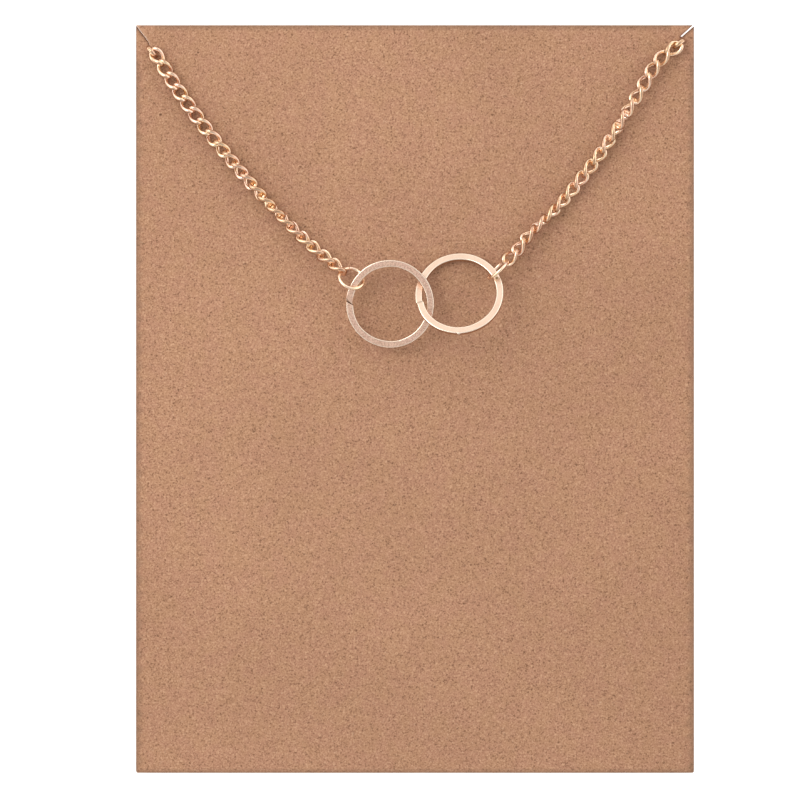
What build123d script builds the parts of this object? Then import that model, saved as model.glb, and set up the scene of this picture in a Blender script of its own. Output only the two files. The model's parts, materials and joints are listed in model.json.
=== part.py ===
from build123d import *
import math
import os

# Circle necklace on its display card: two interlocked flat circles hang from a
# twisted curb chain whose two arms pass through slits in the card's top corners
# and run on behind the card to the clasp.
#
# Frame: millimetres, +Z up, the card lies face up with +Y towards its top edge.
# The origin is at the bottom centre of the whole: the middle of the card in
# X and Y, and the table under the hidden chain in Z.

os.makedirs("parts", exist_ok=True)

# Card
card_width = 70.0
card_height = 93.8
card_thickness = 0.40
card_corner_radius = 0.30
card_air = 0.13             # air between the card and the tilted ring under it
slit_width = 0.26
left_front_inset = (2.73, 4.05)     # first link on the card, in from its corner
left_front_heading = -57.2
right_front_inset = (2.65, 3.00)
right_front_heading = 208.0

# Chain link
link_length = 2.82          # outside length of one twisted link
link_width = 1.95           # outside width before the twist
link_wire = 0.42
link_twist = -54.0          # turn of each end bend against the middle, degrees
link_end_half = 0.36        # half length of the flat across the end bend
link_shoulder = 0.43        # how far the shoulder lies behind the end bend
link_bend_radius = 0.60
front_gap = 0.15            # air under the links that lie on the card
passage_gap = 0.15          # air round the link that passes through the card
hook_gap = 0.125            # air between a jump ring's wire and the link it holds
clasp_hook_gap = 0.14       # the same at the clasp's eye and at the end ring
left_arm_slack = 0.23       # play between one link and the next, by stretch
right_arm_slack = 0.12
back_slack = 0.15
joint_slack = 0.22          # play at the ends of a stretch

# Circles
circle_diameter = 11.0
circle_band = 0.84          # radial width of the flat band
circle_thickness = 0.62
circle_edge_radius = 0.07
seam_width = 0.10           # groove left at the soldered joint
seam_depth = 0.06
solder_nub_radius = 0.24
solder_nub_proud = 0.156    # how far the nub stands out of the band's edge

left_circle_centre = (-3.11, 11.91)
left_circle_rise = 2.32     # centre of the circle above the card's face
left_circle_slope = (0.05, 0.10)      # rise per millimetre along X and Y
left_seam_angle = 175.0

right_circle_offset = (0.788, 0.111)  # from the left one's centre, in diameters
right_circle_rise = 2.67
right_circle_slope = (0.08, -0.4452)
right_seam_angle = 193.0
right_nub_angle = -91.0

# Jump rings
ring_diameter = 3.60
ring_wire = 0.40
left_ring_bearing = 146.6   # where the ring hangs on its circle, degrees
left_ring_air = 0.263       # from the band's inner edge to the ring's wire
left_ring_lift = -0.127     # centre of the ring above the plane of its circle
left_ring_normal = (0.26891, 0.59237, 0.75946)
left_hook_bearing = (140.8, -10.53)   # the last link as seen from the ring
left_hook_heading = (-40.0, 7.7)
left_hook_roll = 120.6
right_ring_bearing = 32.74
right_ring_air = 0.289
right_ring_lift = 0.231
right_hook_bearing = (43.87, -5.92)
right_hook_heading = (-135.1, 8.0)
right_hook_roll = 37.0
right_ring_azimuth = 43.3   # the ring stands on edge along this direction
right_ring_lean = 9.7       # its top leans towards the lower right

# Clasp
clasp_centre = (0.0, 27.0)
clasp_diameter = 5.50
clasp_tube = 0.80
clasp_eye_diameter = 1.90
clasp_eye_wire = 0.40
clasp_eye_sink = 0.15       # how far the eye is sunk into the tube
clasp_lever_length = 0.9
clasp_lever_width = 0.5
end_ring_diameter = 3.02
end_ring_wire = 0.36
end_ring_tilt = -33.5
end_ring_inset = 0.05
clasp_link_roll = -24.0
end_link_drop = 0.10

# Chosen points of the chain's route in X and Y: the two arms seen on the card
# run from the corner to the jump ring, the two stretches behind the card run
# from the corner down, round a wide turn and up to the clasp.
chain_route = {
    "left_arm": [(-30.48, 39.97), (-27.66, 35.80), (-24.69, 31.95), (-21.43, 28.01),
                 (-17.88, 24.02), (-15.27, 21.39), (-12.86, 19.12)],
    "right_arm": [(30.02, 41.70), (28.22, 38.69), (26.18, 35.42), (24.12, 32.08),
                  (21.93, 29.05), (19.85, 26.41), (17.41, 23.60), (14.55, 20.92)],
    "left_back": [(-31.6, 34.0), (-29.0, 20.0), (-27.4, 2.0), (-27.0, -13.6),
                  (-26.4, -22.8), (-22.4, -28.0), (-18.0, -29.5), (-13.6, -28.0),
                  (-9.6, -22.8), (-9.2, -13.6), (-9.8, -1.0), (-11.6, 10.0),
                  (-13.2, 17.5), (-12.9, 22.6), (-9.9, 26.2)],
    "right_back": [(26.6, 41.2), (23.4, 37.6), (23.8, 31.0), (26.2, 20.0),
                   (27.2, 2.0), (27.0, -13.6), (26.4, -22.8), (22.4, -28.0),
                   (18.0, -29.5), (13.6, -28.0), (9.6, -22.8), (9.2, -13.6),
                   (9.8, -1.0), (11.6, 10.0), (13.2, 17.5), (12.6, 22.8),
                   (9.4, 26.2)],
}

# Roll of the links about the chain's own line, as (share of the stretch, degrees).
chain_roll = {
    "left_arm": [(0.0, 0), (0.237, 6), (0.289, 15), (0.342, 29), (0.395, 43),
                 (0.553, 57), (0.605, 70), (0.711, 91), (0.816, 111),
                 (0.921, 122), (1.0, 122)],
    "right_arm": [(0.0, 12), (0.088, 22), (0.147, 28), (0.206, 46), (0.265, 66),
                  (0.324, 88), (0.382, 108), (0.441, 124), (0.5, 134),
                  (0.559, 137), (0.618, 136), (0.676, 133), (0.735, 120),
                  (0.794, 103), (0.853, 86), (0.912, 69), (1.0, 44)],
    "left_back": [(0.0, 0), (0.97, 0), (1.0, -16)],
    "right_back": [(0.0, 0), (1.0, 0)],
}

# Extra rise of the links above their resting height, as (share of the stretch,
# share of the link's width).
chain_rise = {
    "left_arm": [(0.0, 0.051), (0.08, 0.0), (0.72, 0.0), (1.0, 0.308)],
    "right_arm": [(0.0, 0.051), (0.08, 0.0), (0.74, 0.0), (1.0, 0.349)],
    "left_back": [(0.0, 0.267), (0.02, 0.205), (0.08, 0.0), (0.95, 0.0), (1.0, 0.113)],
    "right_back": [(0.0, 0.267), (0.02, 0.205), (0.08, 0.0), (0.95, 0.0), (1.0, 0.103)],
}

# Derived heights
end_ring_radius = (end_ring_diameter - end_ring_wire) / 2
end_ring_reach = end_ring_radius * abs(math.sin(math.radians(end_ring_tilt))) + end_ring_wire / 2
clasp_rise = end_ring_reach
card_lift = 2 * end_ring_reach + card_air
card_middle = card_lift + card_thickness / 2
card_face = card_lift + card_thickness

# One link
half_length = (link_length - link_wire) / 2
half_width = (link_width - link_wire) / 2


def twisted(along, across):
    """Point of the link's centreline, turned in proportion to its place along."""
    turn = math.radians(link_twist) * along / half_length
    return (along, across * math.cos(turn), across * math.sin(turn))


shoulder = half_length - link_shoulder
half_line = [
    twisted(half_length, 0),
    twisted(half_length, link_end_half),
    twisted(shoulder, half_width),
    twisted(0, half_width),
    twisted(-shoulder, half_width),
    twisted(-half_length, link_end_half),
    twisted(-half_length, 0),
]

with BuildPart() as link:
    with BuildLine() as link_line:
        FilletPolyline(*half_line, radius=link_bend_radius)
    side_wire = link_line.wire()
    with BuildSketch(Plane(origin=side_wire @ 0, z_dir=side_wire % 0)):
        Circle(link_wire / 2)
    sweep(path=side_wire)
    add(link.part.rotate(Axis.X, 180))

line_samples = [side_wire @ (k / 120) for k in range(121)]


def half_height(roll):
    """Height of the link's axis over its lowest point when rolled by so much."""
    turn = math.radians(roll)
    reach = max(abs(p.Y * math.sin(turn) + p.Z * math.cos(turn)) for p in line_samples)
    return reach + link_wire / 2


# Chain layout
def read_table(table, share):
    """Value of a table of (share, value) pairs at a share, on straight lines."""
    for (s0, v0), (s1, v1) in zip(table, table[1:]):
        if share <= s1:
            return v0 + (v1 - v0) * (share - s0) / (s1 - s0)
    return table[-1][1]


def heading(azimuth, climb=0.0):
    """Unit vector at an azimuth from +X and a climb above the level."""
    a, c = math.radians(azimuth), math.radians(climb)
    return Vector(math.cos(a) * math.cos(c), math.sin(a) * math.cos(c), math.sin(c))


def link_plane(centre, direction, roll):
    """Plane of a link: its long axis along direction, rolled about it."""
    side = Vector(0, 0, 1).cross(direction).normalized()
    up = direction.normalized().cross(side)
    turn = math.radians(roll)
    return Plane(origin=centre, x_dir=direction,
                 z_dir=up * math.cos(turn) - side * math.sin(turn))


def stretch(name, start, end, pitch, rest):
    """Planes of the links between two joints, along the route of that name."""
    flat = [(start.X, start.Y)] + chain_route[name] + [(end.X, end.Y)]
    line = Edge.make_spline([Vector(x, y, 0) for x, y in flat])
    count = max(1, round(line.length / pitch))
    shares = [(k + 0.5) / count for k in range(count)]
    rolls = [read_table(chain_roll[name], s) for s in shares]
    rests = [rest + half_height(r) + read_table(chain_rise[name], s)
             for r, s in zip(rolls, shares)]
    joints = [start]
    for k in range(1, count):
        p = line @ (k / count)
        joints.append(Vector(p.X, p.Y, (rests[k - 1] + rests[k]) / 2))
    joints.append(end)
    return [link_plane((a + b) / 2, b - a, r)
            for a, b, r in zip(joints, joints[1:], rolls)]


left_arm_pitch = link_length - 2 * link_wire - left_arm_slack
right_arm_pitch = link_length - 2 * link_wire - right_arm_slack
back_pitch = link_length - 2 * link_wire - back_slack
joint_reach = (link_length - 2 * link_wire - joint_slack) / 2

# The link that passes through the card stands upright in the eye of the slit;
# its neighbours lie across its ends, one on the card and one behind it.
# Each: turn of the upright link against the neighbour's heading, then the
# neighbour's place along and beside its heading and off the card's face, as
# shares of a link's length, its climb and its roll.
front_pass = (61.7, 0.3429, 0.0848, 0.2567, 10.8, -18.2)
back_pass = (-85.0, 0.3018, 0.1521, 0.2670, 0.0, 0.0)


def corner(front_spot, front_heading):
    """Planes of the front, upright and back links at a corner of the card."""
    turn, along, beside, off, climb, roll = front_pass
    ahead, aside = heading(front_heading), heading(front_heading + 90)
    spot = Vector(front_spot[0], front_spot[1], card_middle)
    eye = spot - (ahead * along + aside * beside) * link_length
    face = front_heading + turn
    front = link_plane(spot + Vector(0, 0, card_thickness / 2 + off * link_length),
                       heading(front_heading, climb), roll)
    upright = Plane(origin=eye, x_dir=(0, 0, 1), z_dir=heading(face + 90))
    turn, along, beside, off, climb, roll = back_pass
    behind_heading = face + turn
    ahead, aside = heading(behind_heading), heading(behind_heading + 90)
    spot = eye + (ahead * along - aside * beside) * link_length
    behind = link_plane(spot - Vector(0, 0, card_thickness / 2 + off * link_length),
                        heading(behind_heading, -climb), roll)
    return front, upright, behind, eye, face


def far_joint(plane):
    """Joint of a link with the one after it."""
    return plane.origin + plane.x_dir * joint_reach


def near_joint(plane):
    """Joint of a link with the one before it."""
    return plane.origin - plane.x_dir * joint_reach


left_front, left_upright, left_behind, left_eye, left_face = corner(
    (left_front_inset[0] - card_width / 2, card_height / 2 - left_front_inset[1]),
    left_front_heading)
right_front, right_upright, right_behind, right_eye, right_face = corner(
    (card_width / 2 - right_front_inset[0], card_height / 2 - right_front_inset[1]),
    right_front_heading)


# Circles and the jump rings that hang on them
def tilted(centre, rise, slope):
    """Plane of a circle: centre over the card's face, normal from its slopes."""
    normal = Vector(-slope[0], -slope[1], 1).normalized()
    across = (Vector(1, 0, 0) - normal * normal.X).normalized()
    return Plane(origin=(centre[0], centre[1], card_face + rise), x_dir=across, z_dir=normal)


def hung(plane, slope, bearing, air, lift):
    """Centre of a jump ring that hangs on a circle at a bearing from its centre."""
    reach = circle_diameter / 2 - circle_band + ring_diameter / 2 - ring_wire - air
    out = heading(bearing) * reach
    return plane.origin + out + Vector(0, 0, slope[0] * out.X + slope[1] * out.Y + lift)


right_circle_centre = (left_circle_centre[0] + right_circle_offset[0] * circle_diameter,
                       left_circle_centre[1] + right_circle_offset[1] * circle_diameter)
left_plane = tilted(left_circle_centre, left_circle_rise, left_circle_slope)
right_plane = tilted(right_circle_centre, right_circle_rise, right_circle_slope)
left_ring_centre = hung(left_plane, left_circle_slope, left_ring_bearing, left_ring_air,
                        left_ring_lift)
right_ring_centre = hung(right_plane, right_circle_slope, right_ring_bearing, right_ring_air,
                         right_ring_lift)

# Last links of the two arms, hooked into the jump rings
ring_radius = (ring_diameter - ring_wire) / 2
hook_reach = ring_radius + half_length - link_wire / 2 - ring_wire / 2 - hook_gap
left_last = link_plane(left_ring_centre + heading(*left_hook_bearing) * hook_reach,
                       heading(*left_hook_heading), left_hook_roll)
right_last = link_plane(right_ring_centre + heading(*right_hook_bearing) * hook_reach,
                        heading(*right_hook_heading), right_hook_roll)

# Last links behind the card, hooked into the clasp's eye and into the end ring
tube_radius = (clasp_diameter - clasp_tube) / 2
eye_radius = (clasp_eye_diameter - clasp_eye_wire) / 2
eye_offset = tube_radius + clasp_tube / 2 - clasp_eye_sink + clasp_eye_diameter / 2
end_ring_offset = tube_radius - end_ring_inset
eye_hook = half_length - link_wire / 2 - clasp_eye_wire / 2 - clasp_hook_gap
end_hook = half_length - link_wire / 2 - end_ring_wire / 2 - clasp_hook_gap
clasp_link = link_plane(
    Vector(clasp_centre[0] - eye_offset - eye_radius - eye_hook, clasp_centre[1], clasp_rise),
    Vector(1, 0, 0), clasp_link_roll)
end_link = link_plane(
    Vector(clasp_centre[0] + end_ring_offset + end_ring_radius + end_hook, clasp_centre[1],
           clasp_rise - end_link_drop),
    Vector(-1, 0, 0), 0)

left_links = [left_behind, left_upright, left_front]
left_links += stretch("left_arm", far_joint(left_front), near_joint(left_last),
                      left_arm_pitch, card_face + front_gap)
left_links += [left_last]
left_links += stretch("left_back", far_joint(left_behind), near_joint(clasp_link),
                      back_pitch, 0.0)
left_links += [clasp_link]

right_links = [right_behind, right_upright, right_front]
right_links += stretch("right_arm", far_joint(right_front), near_joint(right_last),
                       right_arm_pitch, card_face + front_gap)
right_links += [right_last]
right_links += stretch("right_back", far_joint(right_behind), near_joint(end_link),
                       back_pitch, 0.0)
right_links += [end_link]

# Card
eye_turn = math.radians(abs(link_twist)) * (card_thickness / 2) / half_length
eye_width = link_wire + 2 * half_width * math.sin(eye_turn) + 2 * passage_gap
eye_length = link_width + 2 * passage_gap


def slit_line(eye, side):
    """Length, middle and direction of the slit from an eye out past the corner."""
    tip = Vector(side * (card_width / 2 + slit_width), card_height / 2 + slit_width, 0)
    run = tip - Vector(eye.X, eye.Y, 0)
    return run.length, (tip + Vector(eye.X, eye.Y, 0)) / 2, math.degrees(math.atan2(run.Y, run.X))


with BuildPart() as card:
    with BuildSketch(Plane.XY.offset(card_lift)):
        RectangleRounded(card_width, card_height, card_corner_radius)
    extrude(amount=card_thickness)
    with BuildSketch(Plane.XY.offset(card_lift)):
        for eye, face, side in ((left_eye, left_face, -1), (right_eye, right_face, 1)):
            with Locations(Location((eye.X, eye.Y, 0), (0, 0, face))):
                SlotOverall(eye_length, eye_width)
            run, middle, angle = slit_line(eye, side)
            with Locations(Location((middle.X, middle.Y, 0), (0, 0, angle))):
                Rectangle(run, slit_width)
    extrude(amount=card_thickness, mode=Mode.SUBTRACT)
card.part.label = "card"


# Circles
def profile_plane(plane, angle=0.0):
    """Plane that holds a ring's cross-section: its X is radial, its Y the ring's axis."""
    a = math.radians(angle)
    radial = plane.x_dir * math.cos(a) + plane.y_dir * math.sin(a)
    return Plane(origin=plane.origin, x_dir=radial, z_dir=radial.cross(plane.z_dir))


band_middle = (circle_diameter - circle_band) / 2

with BuildPart() as left_circle:
    with BuildSketch(profile_plane(left_plane)):
        with Locations((band_middle, 0)):
            RectangleRounded(circle_band, circle_thickness, circle_edge_radius)
    revolve(axis=Axis(left_plane.origin, left_plane.z_dir))
    with BuildSketch(profile_plane(left_plane, left_seam_angle)):
        with Locations((band_middle, circle_thickness / 2)):
            Rectangle(circle_band + 2 * circle_edge_radius, 2 * seam_depth)
    extrude(amount=seam_width / 2, both=True, mode=Mode.SUBTRACT)
left_circle.part.label = "left_circle"

with BuildPart() as right_circle:
    with BuildSketch(profile_plane(right_plane)):
        with Locations((band_middle, 0)):
            RectangleRounded(circle_band, circle_thickness, circle_edge_radius)
    revolve(axis=Axis(right_plane.origin, right_plane.z_dir))
    with BuildSketch(profile_plane(right_plane, right_seam_angle)):
        with Locations((band_middle, circle_thickness / 2)):
            Rectangle(circle_band + 2 * circle_edge_radius, 2 * seam_depth)
    extrude(amount=seam_width / 2, both=True, mode=Mode.SUBTRACT)
    nub = profile_plane(right_plane, right_nub_angle)
    nub_reach = circle_diameter / 2 + solder_nub_proud - solder_nub_radius
    with Locations(nub.origin + nub.x_dir * nub_reach):
        Sphere(solder_nub_radius)
right_circle.part.label = "right_circle"


# Jump rings
left_ring_plane = Plane(origin=left_ring_centre, z_dir=left_ring_normal)
lean = math.radians(right_ring_lean)
beside = heading(right_ring_azimuth + 90)
right_ring_plane = Plane(origin=right_ring_centre, x_dir=heading(right_ring_azimuth),
                         z_dir=beside * math.cos(lean) + Vector(0, 0, math.sin(lean)))

with BuildPart() as left_jump_ring:
    with BuildSketch(profile_plane(left_ring_plane)):
        with Locations((ring_radius, 0)):
            Circle(ring_wire / 2)
    revolve(axis=Axis(left_ring_plane.origin, left_ring_plane.z_dir))
left_jump_ring.part.label = "left_jump_ring"

with BuildPart() as right_jump_ring:
    with BuildSketch(profile_plane(right_ring_plane)):
        with Locations((ring_radius, 0)):
            Circle(ring_wire / 2)
    revolve(axis=Axis(right_ring_plane.origin, right_ring_plane.z_dir))
right_jump_ring.part.label = "right_jump_ring"

# Clasp
tube_plane = Plane(origin=(*clasp_centre, clasp_rise))
eye_plane = Plane(origin=(clasp_centre[0] - eye_offset, clasp_centre[1], clasp_rise))
tilt = math.radians(end_ring_tilt)
end_ring_plane = Plane(origin=(clasp_centre[0] + end_ring_offset, clasp_centre[1], clasp_rise),
                       x_dir=(1, 0, 0), z_dir=(0, -math.sin(tilt), math.cos(tilt)))

with BuildPart() as clasp:
    with BuildSketch(profile_plane(tube_plane)):
        with Locations((tube_radius, 0)):
            Circle(clasp_tube / 2)
    revolve(axis=Axis(tube_plane.origin, tube_plane.z_dir))
    with BuildSketch(profile_plane(eye_plane)):
        with Locations((eye_radius, 0)):
            Circle(clasp_eye_wire / 2)
    revolve(axis=Axis(eye_plane.origin, eye_plane.z_dir))
    with BuildSketch(Plane.XZ.offset(-(clasp_centre[1] + tube_radius))):
        with Locations((clasp_centre[0], clasp_rise)):
            Circle(clasp_lever_width / 2)
    extrude(amount=-(clasp_tube / 2 + clasp_lever_length))
clasp.part.label = "clasp"

with BuildPart() as end_ring:
    with BuildSketch(profile_plane(end_ring_plane)):
        with Locations((end_ring_radius, 0)):
            Circle(end_ring_wire / 2)
    revolve(axis=Axis(end_ring_plane.origin, end_ring_plane.z_dir))
end_ring.part.label = "end_ring"

# Chains
with BuildPart() as chain_left:
    with Locations(*[Location(plane) for plane in left_links]):
        add(link.part)
chain_left.part.label = "chain_left"

with BuildPart() as chain_right:
    with Locations(*[Location(plane) for plane in right_links]):
        add(link.part)
chain_right.part.label = "chain_right"

# Write the pieces
export_step(card.part, "parts/card.step")
export_step(left_circle.part, "parts/left_circle.step")
export_step(right_circle.part, "parts/right_circle.step")
export_step(left_jump_ring.part, "parts/left_jump_ring.step")
export_step(right_jump_ring.part, "parts/right_jump_ring.step")
export_step(clasp.part, "parts/clasp.step")
export_step(end_ring.part, "parts/end_ring.step")
export_step(chain_left.part, "parts/chain_left.step")
export_step(chain_right.part, "parts/chain_right.step")
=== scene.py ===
"""Circle necklace on its display card, dressed for rendering.

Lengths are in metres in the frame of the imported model: the card lies face up, +Y
points to its top edge and +Z up to the camera. Every piece takes its place from the
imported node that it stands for.
"""

import json
import logging
import math
from dataclasses import dataclass, field
from enum import Enum
from functools import reduce

import bpy
import numpy as np
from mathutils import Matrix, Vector
from mathutils.geometry import delaunay_2d_cdt

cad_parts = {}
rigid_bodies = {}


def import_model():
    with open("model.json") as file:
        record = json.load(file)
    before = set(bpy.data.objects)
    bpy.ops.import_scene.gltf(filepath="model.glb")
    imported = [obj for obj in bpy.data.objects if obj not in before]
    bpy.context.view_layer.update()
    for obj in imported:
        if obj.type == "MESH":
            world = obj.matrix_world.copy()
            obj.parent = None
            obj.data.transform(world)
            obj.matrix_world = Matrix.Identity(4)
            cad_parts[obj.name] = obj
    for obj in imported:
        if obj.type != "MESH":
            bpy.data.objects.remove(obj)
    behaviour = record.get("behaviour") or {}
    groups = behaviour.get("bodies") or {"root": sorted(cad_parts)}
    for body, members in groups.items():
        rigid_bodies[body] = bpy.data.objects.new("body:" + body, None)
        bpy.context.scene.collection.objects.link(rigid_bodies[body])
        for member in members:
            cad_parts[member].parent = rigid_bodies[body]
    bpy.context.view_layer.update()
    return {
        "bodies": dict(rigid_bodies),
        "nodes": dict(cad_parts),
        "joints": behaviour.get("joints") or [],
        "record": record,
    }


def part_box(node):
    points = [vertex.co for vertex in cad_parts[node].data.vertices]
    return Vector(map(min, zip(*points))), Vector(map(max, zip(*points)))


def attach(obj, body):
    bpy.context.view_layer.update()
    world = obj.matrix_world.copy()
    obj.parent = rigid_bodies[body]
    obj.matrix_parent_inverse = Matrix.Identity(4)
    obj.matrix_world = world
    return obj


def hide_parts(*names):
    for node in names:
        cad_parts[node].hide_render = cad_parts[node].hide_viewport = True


MM = 0.001
SEED = 7
LOG = logging.getLogger("necklace")

# Noise is read this far off, in metres: all its layers share one point at the origin.
FAR_OFF = (0.37, 0.53, 0.11)
UP = np.array([0.0, 0.0, 1.0])

Array = np.ndarray
Colour = tuple[float, float, float]


class Finish(Enum):
    """Named finishes of the metal pieces."""

    BRUSHED = "brushed_rose_gold"
    SATIN = "satin_rose_gold"
    BRIGHT = "bright_rose_gold"


class Lie(Enum):
    """Where a link of the chain is."""

    FRONT = "on the card"
    STANDING = "through the card"
    BACK = "behind the card"


# Shapes and meshes


def full_turn(count: int) -> Array:
    """Evenly spaced angles of a full turn, its end left out."""
    return np.linspace(0, 2 * np.pi, count, endpoint=False)


def bell(x: Array, width: float | Array, power: int = 2) -> Array:
    """Bell curve exp(-(x / width)^power)."""
    return np.exp(-(x / width) ** power)


def turned(angle: Array, zero: float) -> Array:
    """Angles counted from a zero and brought between minus and plus half a turn."""
    return np.angle(np.exp(1j * (angle - zero)))


def unit(vectors: Array) -> Array:
    """Vectors divided by their lengths."""
    return vectors / np.linalg.norm(vectors, axis=-1, keepdims=True)


def spread(shape: tuple[int, ...], **values: Array) -> dict[str, Array]:
    """Named values, each carried over a grid of points and written out in a row."""
    return {key: np.broadcast_to(value, shape).ravel() for key, value in values.items()}


@dataclass
class Surface:
    """Points and faces of a surface, with per-point values for its material.

    Attributes:
        points: (n, 3) places in metres.
        faces: lists of point indices, outward by the right-hand rule.
        values: named numbers, each of shape (n,), one for each point.
    """

    points: Array
    faces: list
    values: dict[str, Array] = field(default_factory=dict)

    def joined(self, other: "Surface") -> "Surface":
        """One surface that holds this one and another.

        Args:
            other: the surface to add; it has the same named values.

        Returns:
            The joined surface.
        """
        shift = len(self.points)
        moved = [[i + shift for i in f] for f in other.faces]
        values = {k: np.concatenate([v, other.values[k]]) for k, v in self.values.items()}
        return Surface(np.concatenate([self.points, other.points]), self.faces + moved, values)


def grid_faces(rows: int, columns: int, wrap_rows: bool, wrap_columns: bool) -> Array:
    """Quads of a grid of points counted row by row.

    The quad at (i, j) joins (i, j), (i + 1, j), (i + 1, j + 1) and (i, j + 1), with
    indices taken modulo the count where that direction wraps.

    Args:
        rows: number of rows of points.
        columns: number of points in a row.
        wrap_rows: whether the last row joins the first.
        wrap_columns: whether the last column joins the first.

    Returns:
        (quads, 4) array of indices.
    """
    i, j = np.meshgrid(np.arange(rows if wrap_rows else rows - 1),
                       np.arange(columns if wrap_columns else columns - 1), indexing="ij")
    ni, nj = (i + 1) % rows, (j + 1) % columns
    quads = np.stack([i * columns + j, ni * columns + j, ni * columns + nj, i * columns + nj], -1)
    return quads.reshape(-1, 4)


def end_faces(rows: int, around: int) -> list:
    """The two flat faces that close a tube of so many rows, the first one first."""
    last = (rows - 1) * around
    return [list(range(around))[::-1], list(range(last, last + around))]


def add_mesh(name: str, surface: Surface, sharp_degrees: float = 40.0) -> bpy.types.Object:
    """Makes a mesh object of a surface, at the origin, with its values as attributes.

    Args:
        name: name of the piece.
        surface: what to build.
        sharp_degrees: edges that turn by more than this stay sharp.

    Returns:
        The new object, linked to the scene.
    """
    mesh = bpy.data.meshes.new(name)
    mesh.from_pydata(surface.points.tolist(), [], surface.faces)
    for key, value in surface.values.items():
        layer = mesh.attributes.new(key, "FLOAT", "POINT")
        layer.data.foreach_set("value", value.astype(np.float32).ravel())
    mesh.shade_smooth()
    mesh.set_sharp_from_angle(angle=math.radians(sharp_degrees))
    mesh.update()
    piece = bpy.data.objects.new(name, mesh)
    bpy.context.scene.collection.objects.link(piece)
    return piece


def node_arrays(node: bpy.types.Object) -> tuple[Array, Array]:
    """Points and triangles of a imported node.

    Args:
        node: the node's object.

    Returns:
        (n, 3) points in metres and (m, 3) triangles.
    """
    points = np.empty(len(node.data.vertices) * 3, np.float32)
    node.data.vertices.foreach_get("co", points)
    corners = np.empty(len(node.data.loops), np.int32)
    node.data.loops.foreach_get("vertex_index", corners)
    return points.reshape(-1, 3).astype(float), corners.reshape(-1, 3)


def solid_labels(points: Array, triangles: Array) -> Array:
    """Number of the solid that each triangle belongs to.

    Points at the same place are one point. Each point starts with its own label, and
    every pass gives both ends of each edge the lower of their labels, then replaces a
    label by the label of the point that it names, until nothing changes.

    Args:
        points: (n, 3) places.
        triangles: (m, 3) indices.

    Returns:
        (m,) numbers counted from 0.
    """
    _, same = np.unique(points.astype(np.float32), axis=0, return_inverse=True)
    corners = same.reshape(-1)[triangles]
    label = np.arange(corners.max() + 1)
    while True:
        least = label[corners].min(1)
        new = label.copy()
        np.minimum.at(new, corners.ravel(), np.repeat(least, 3))
        new = new[new]
        if np.array_equal(new, label):
            break
        label = new
    return np.unique(label[corners[:, 0]], return_inverse=True)[1].reshape(-1)


@dataclass
class Poses:
    """Places of like solids: centres (n, 3) and axes (n, 3, 3), one axis a row.

    The axes are the principal directions of each solid's surface, longest first, and
    right-handed.
    """

    centres: Array
    axes: Array

    @classmethod
    def read(cls, node: bpy.types.Object) -> "Poses":
        """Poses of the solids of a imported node.

        Each triangle counts by its area a at its middle m. The centre is the mean of
        m, and the axes are the eigenvectors of the mean of (m - centre)(m - centre).

        Args:
            node: the node's object.

        Returns:
            The poses, in the order of the node's solids.
        """
        points, triangles = node_arrays(node)
        label = solid_labels(points, triangles)
        p, q, r = (points[triangles[:, k]] for k in range(3))
        area = np.linalg.norm(np.cross(q - p, r - p), axis=1) / 2
        middle = (p + q + r) / 3
        total = np.bincount(label, area)
        centres = np.stack([np.bincount(label, area * middle[:, k]) for k in range(3)], 1)
        centres /= total[:, None]
        offset = middle - centres[label]
        scatter = np.empty((len(total), 3, 3))
        for i in range(3):
            for j in range(3):
                moment = np.bincount(label, area * offset[:, i] * offset[:, j])
                scatter[:, i, j] = moment / total
        axes = np.linalg.eigh(scatter)[1][:, :, ::-1].transpose(0, 2, 1)
        axes[:, 2] = np.cross(axes[:, 0], axes[:, 1])
        return cls(centres, axes)


# Materials


def socket(node: bpy.types.Node, name: str) -> bpy.types.NodeSocket:
    """Enabled input of a node by its name."""
    return next(s for s in node.inputs if s.name == name and s.enabled)


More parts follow.
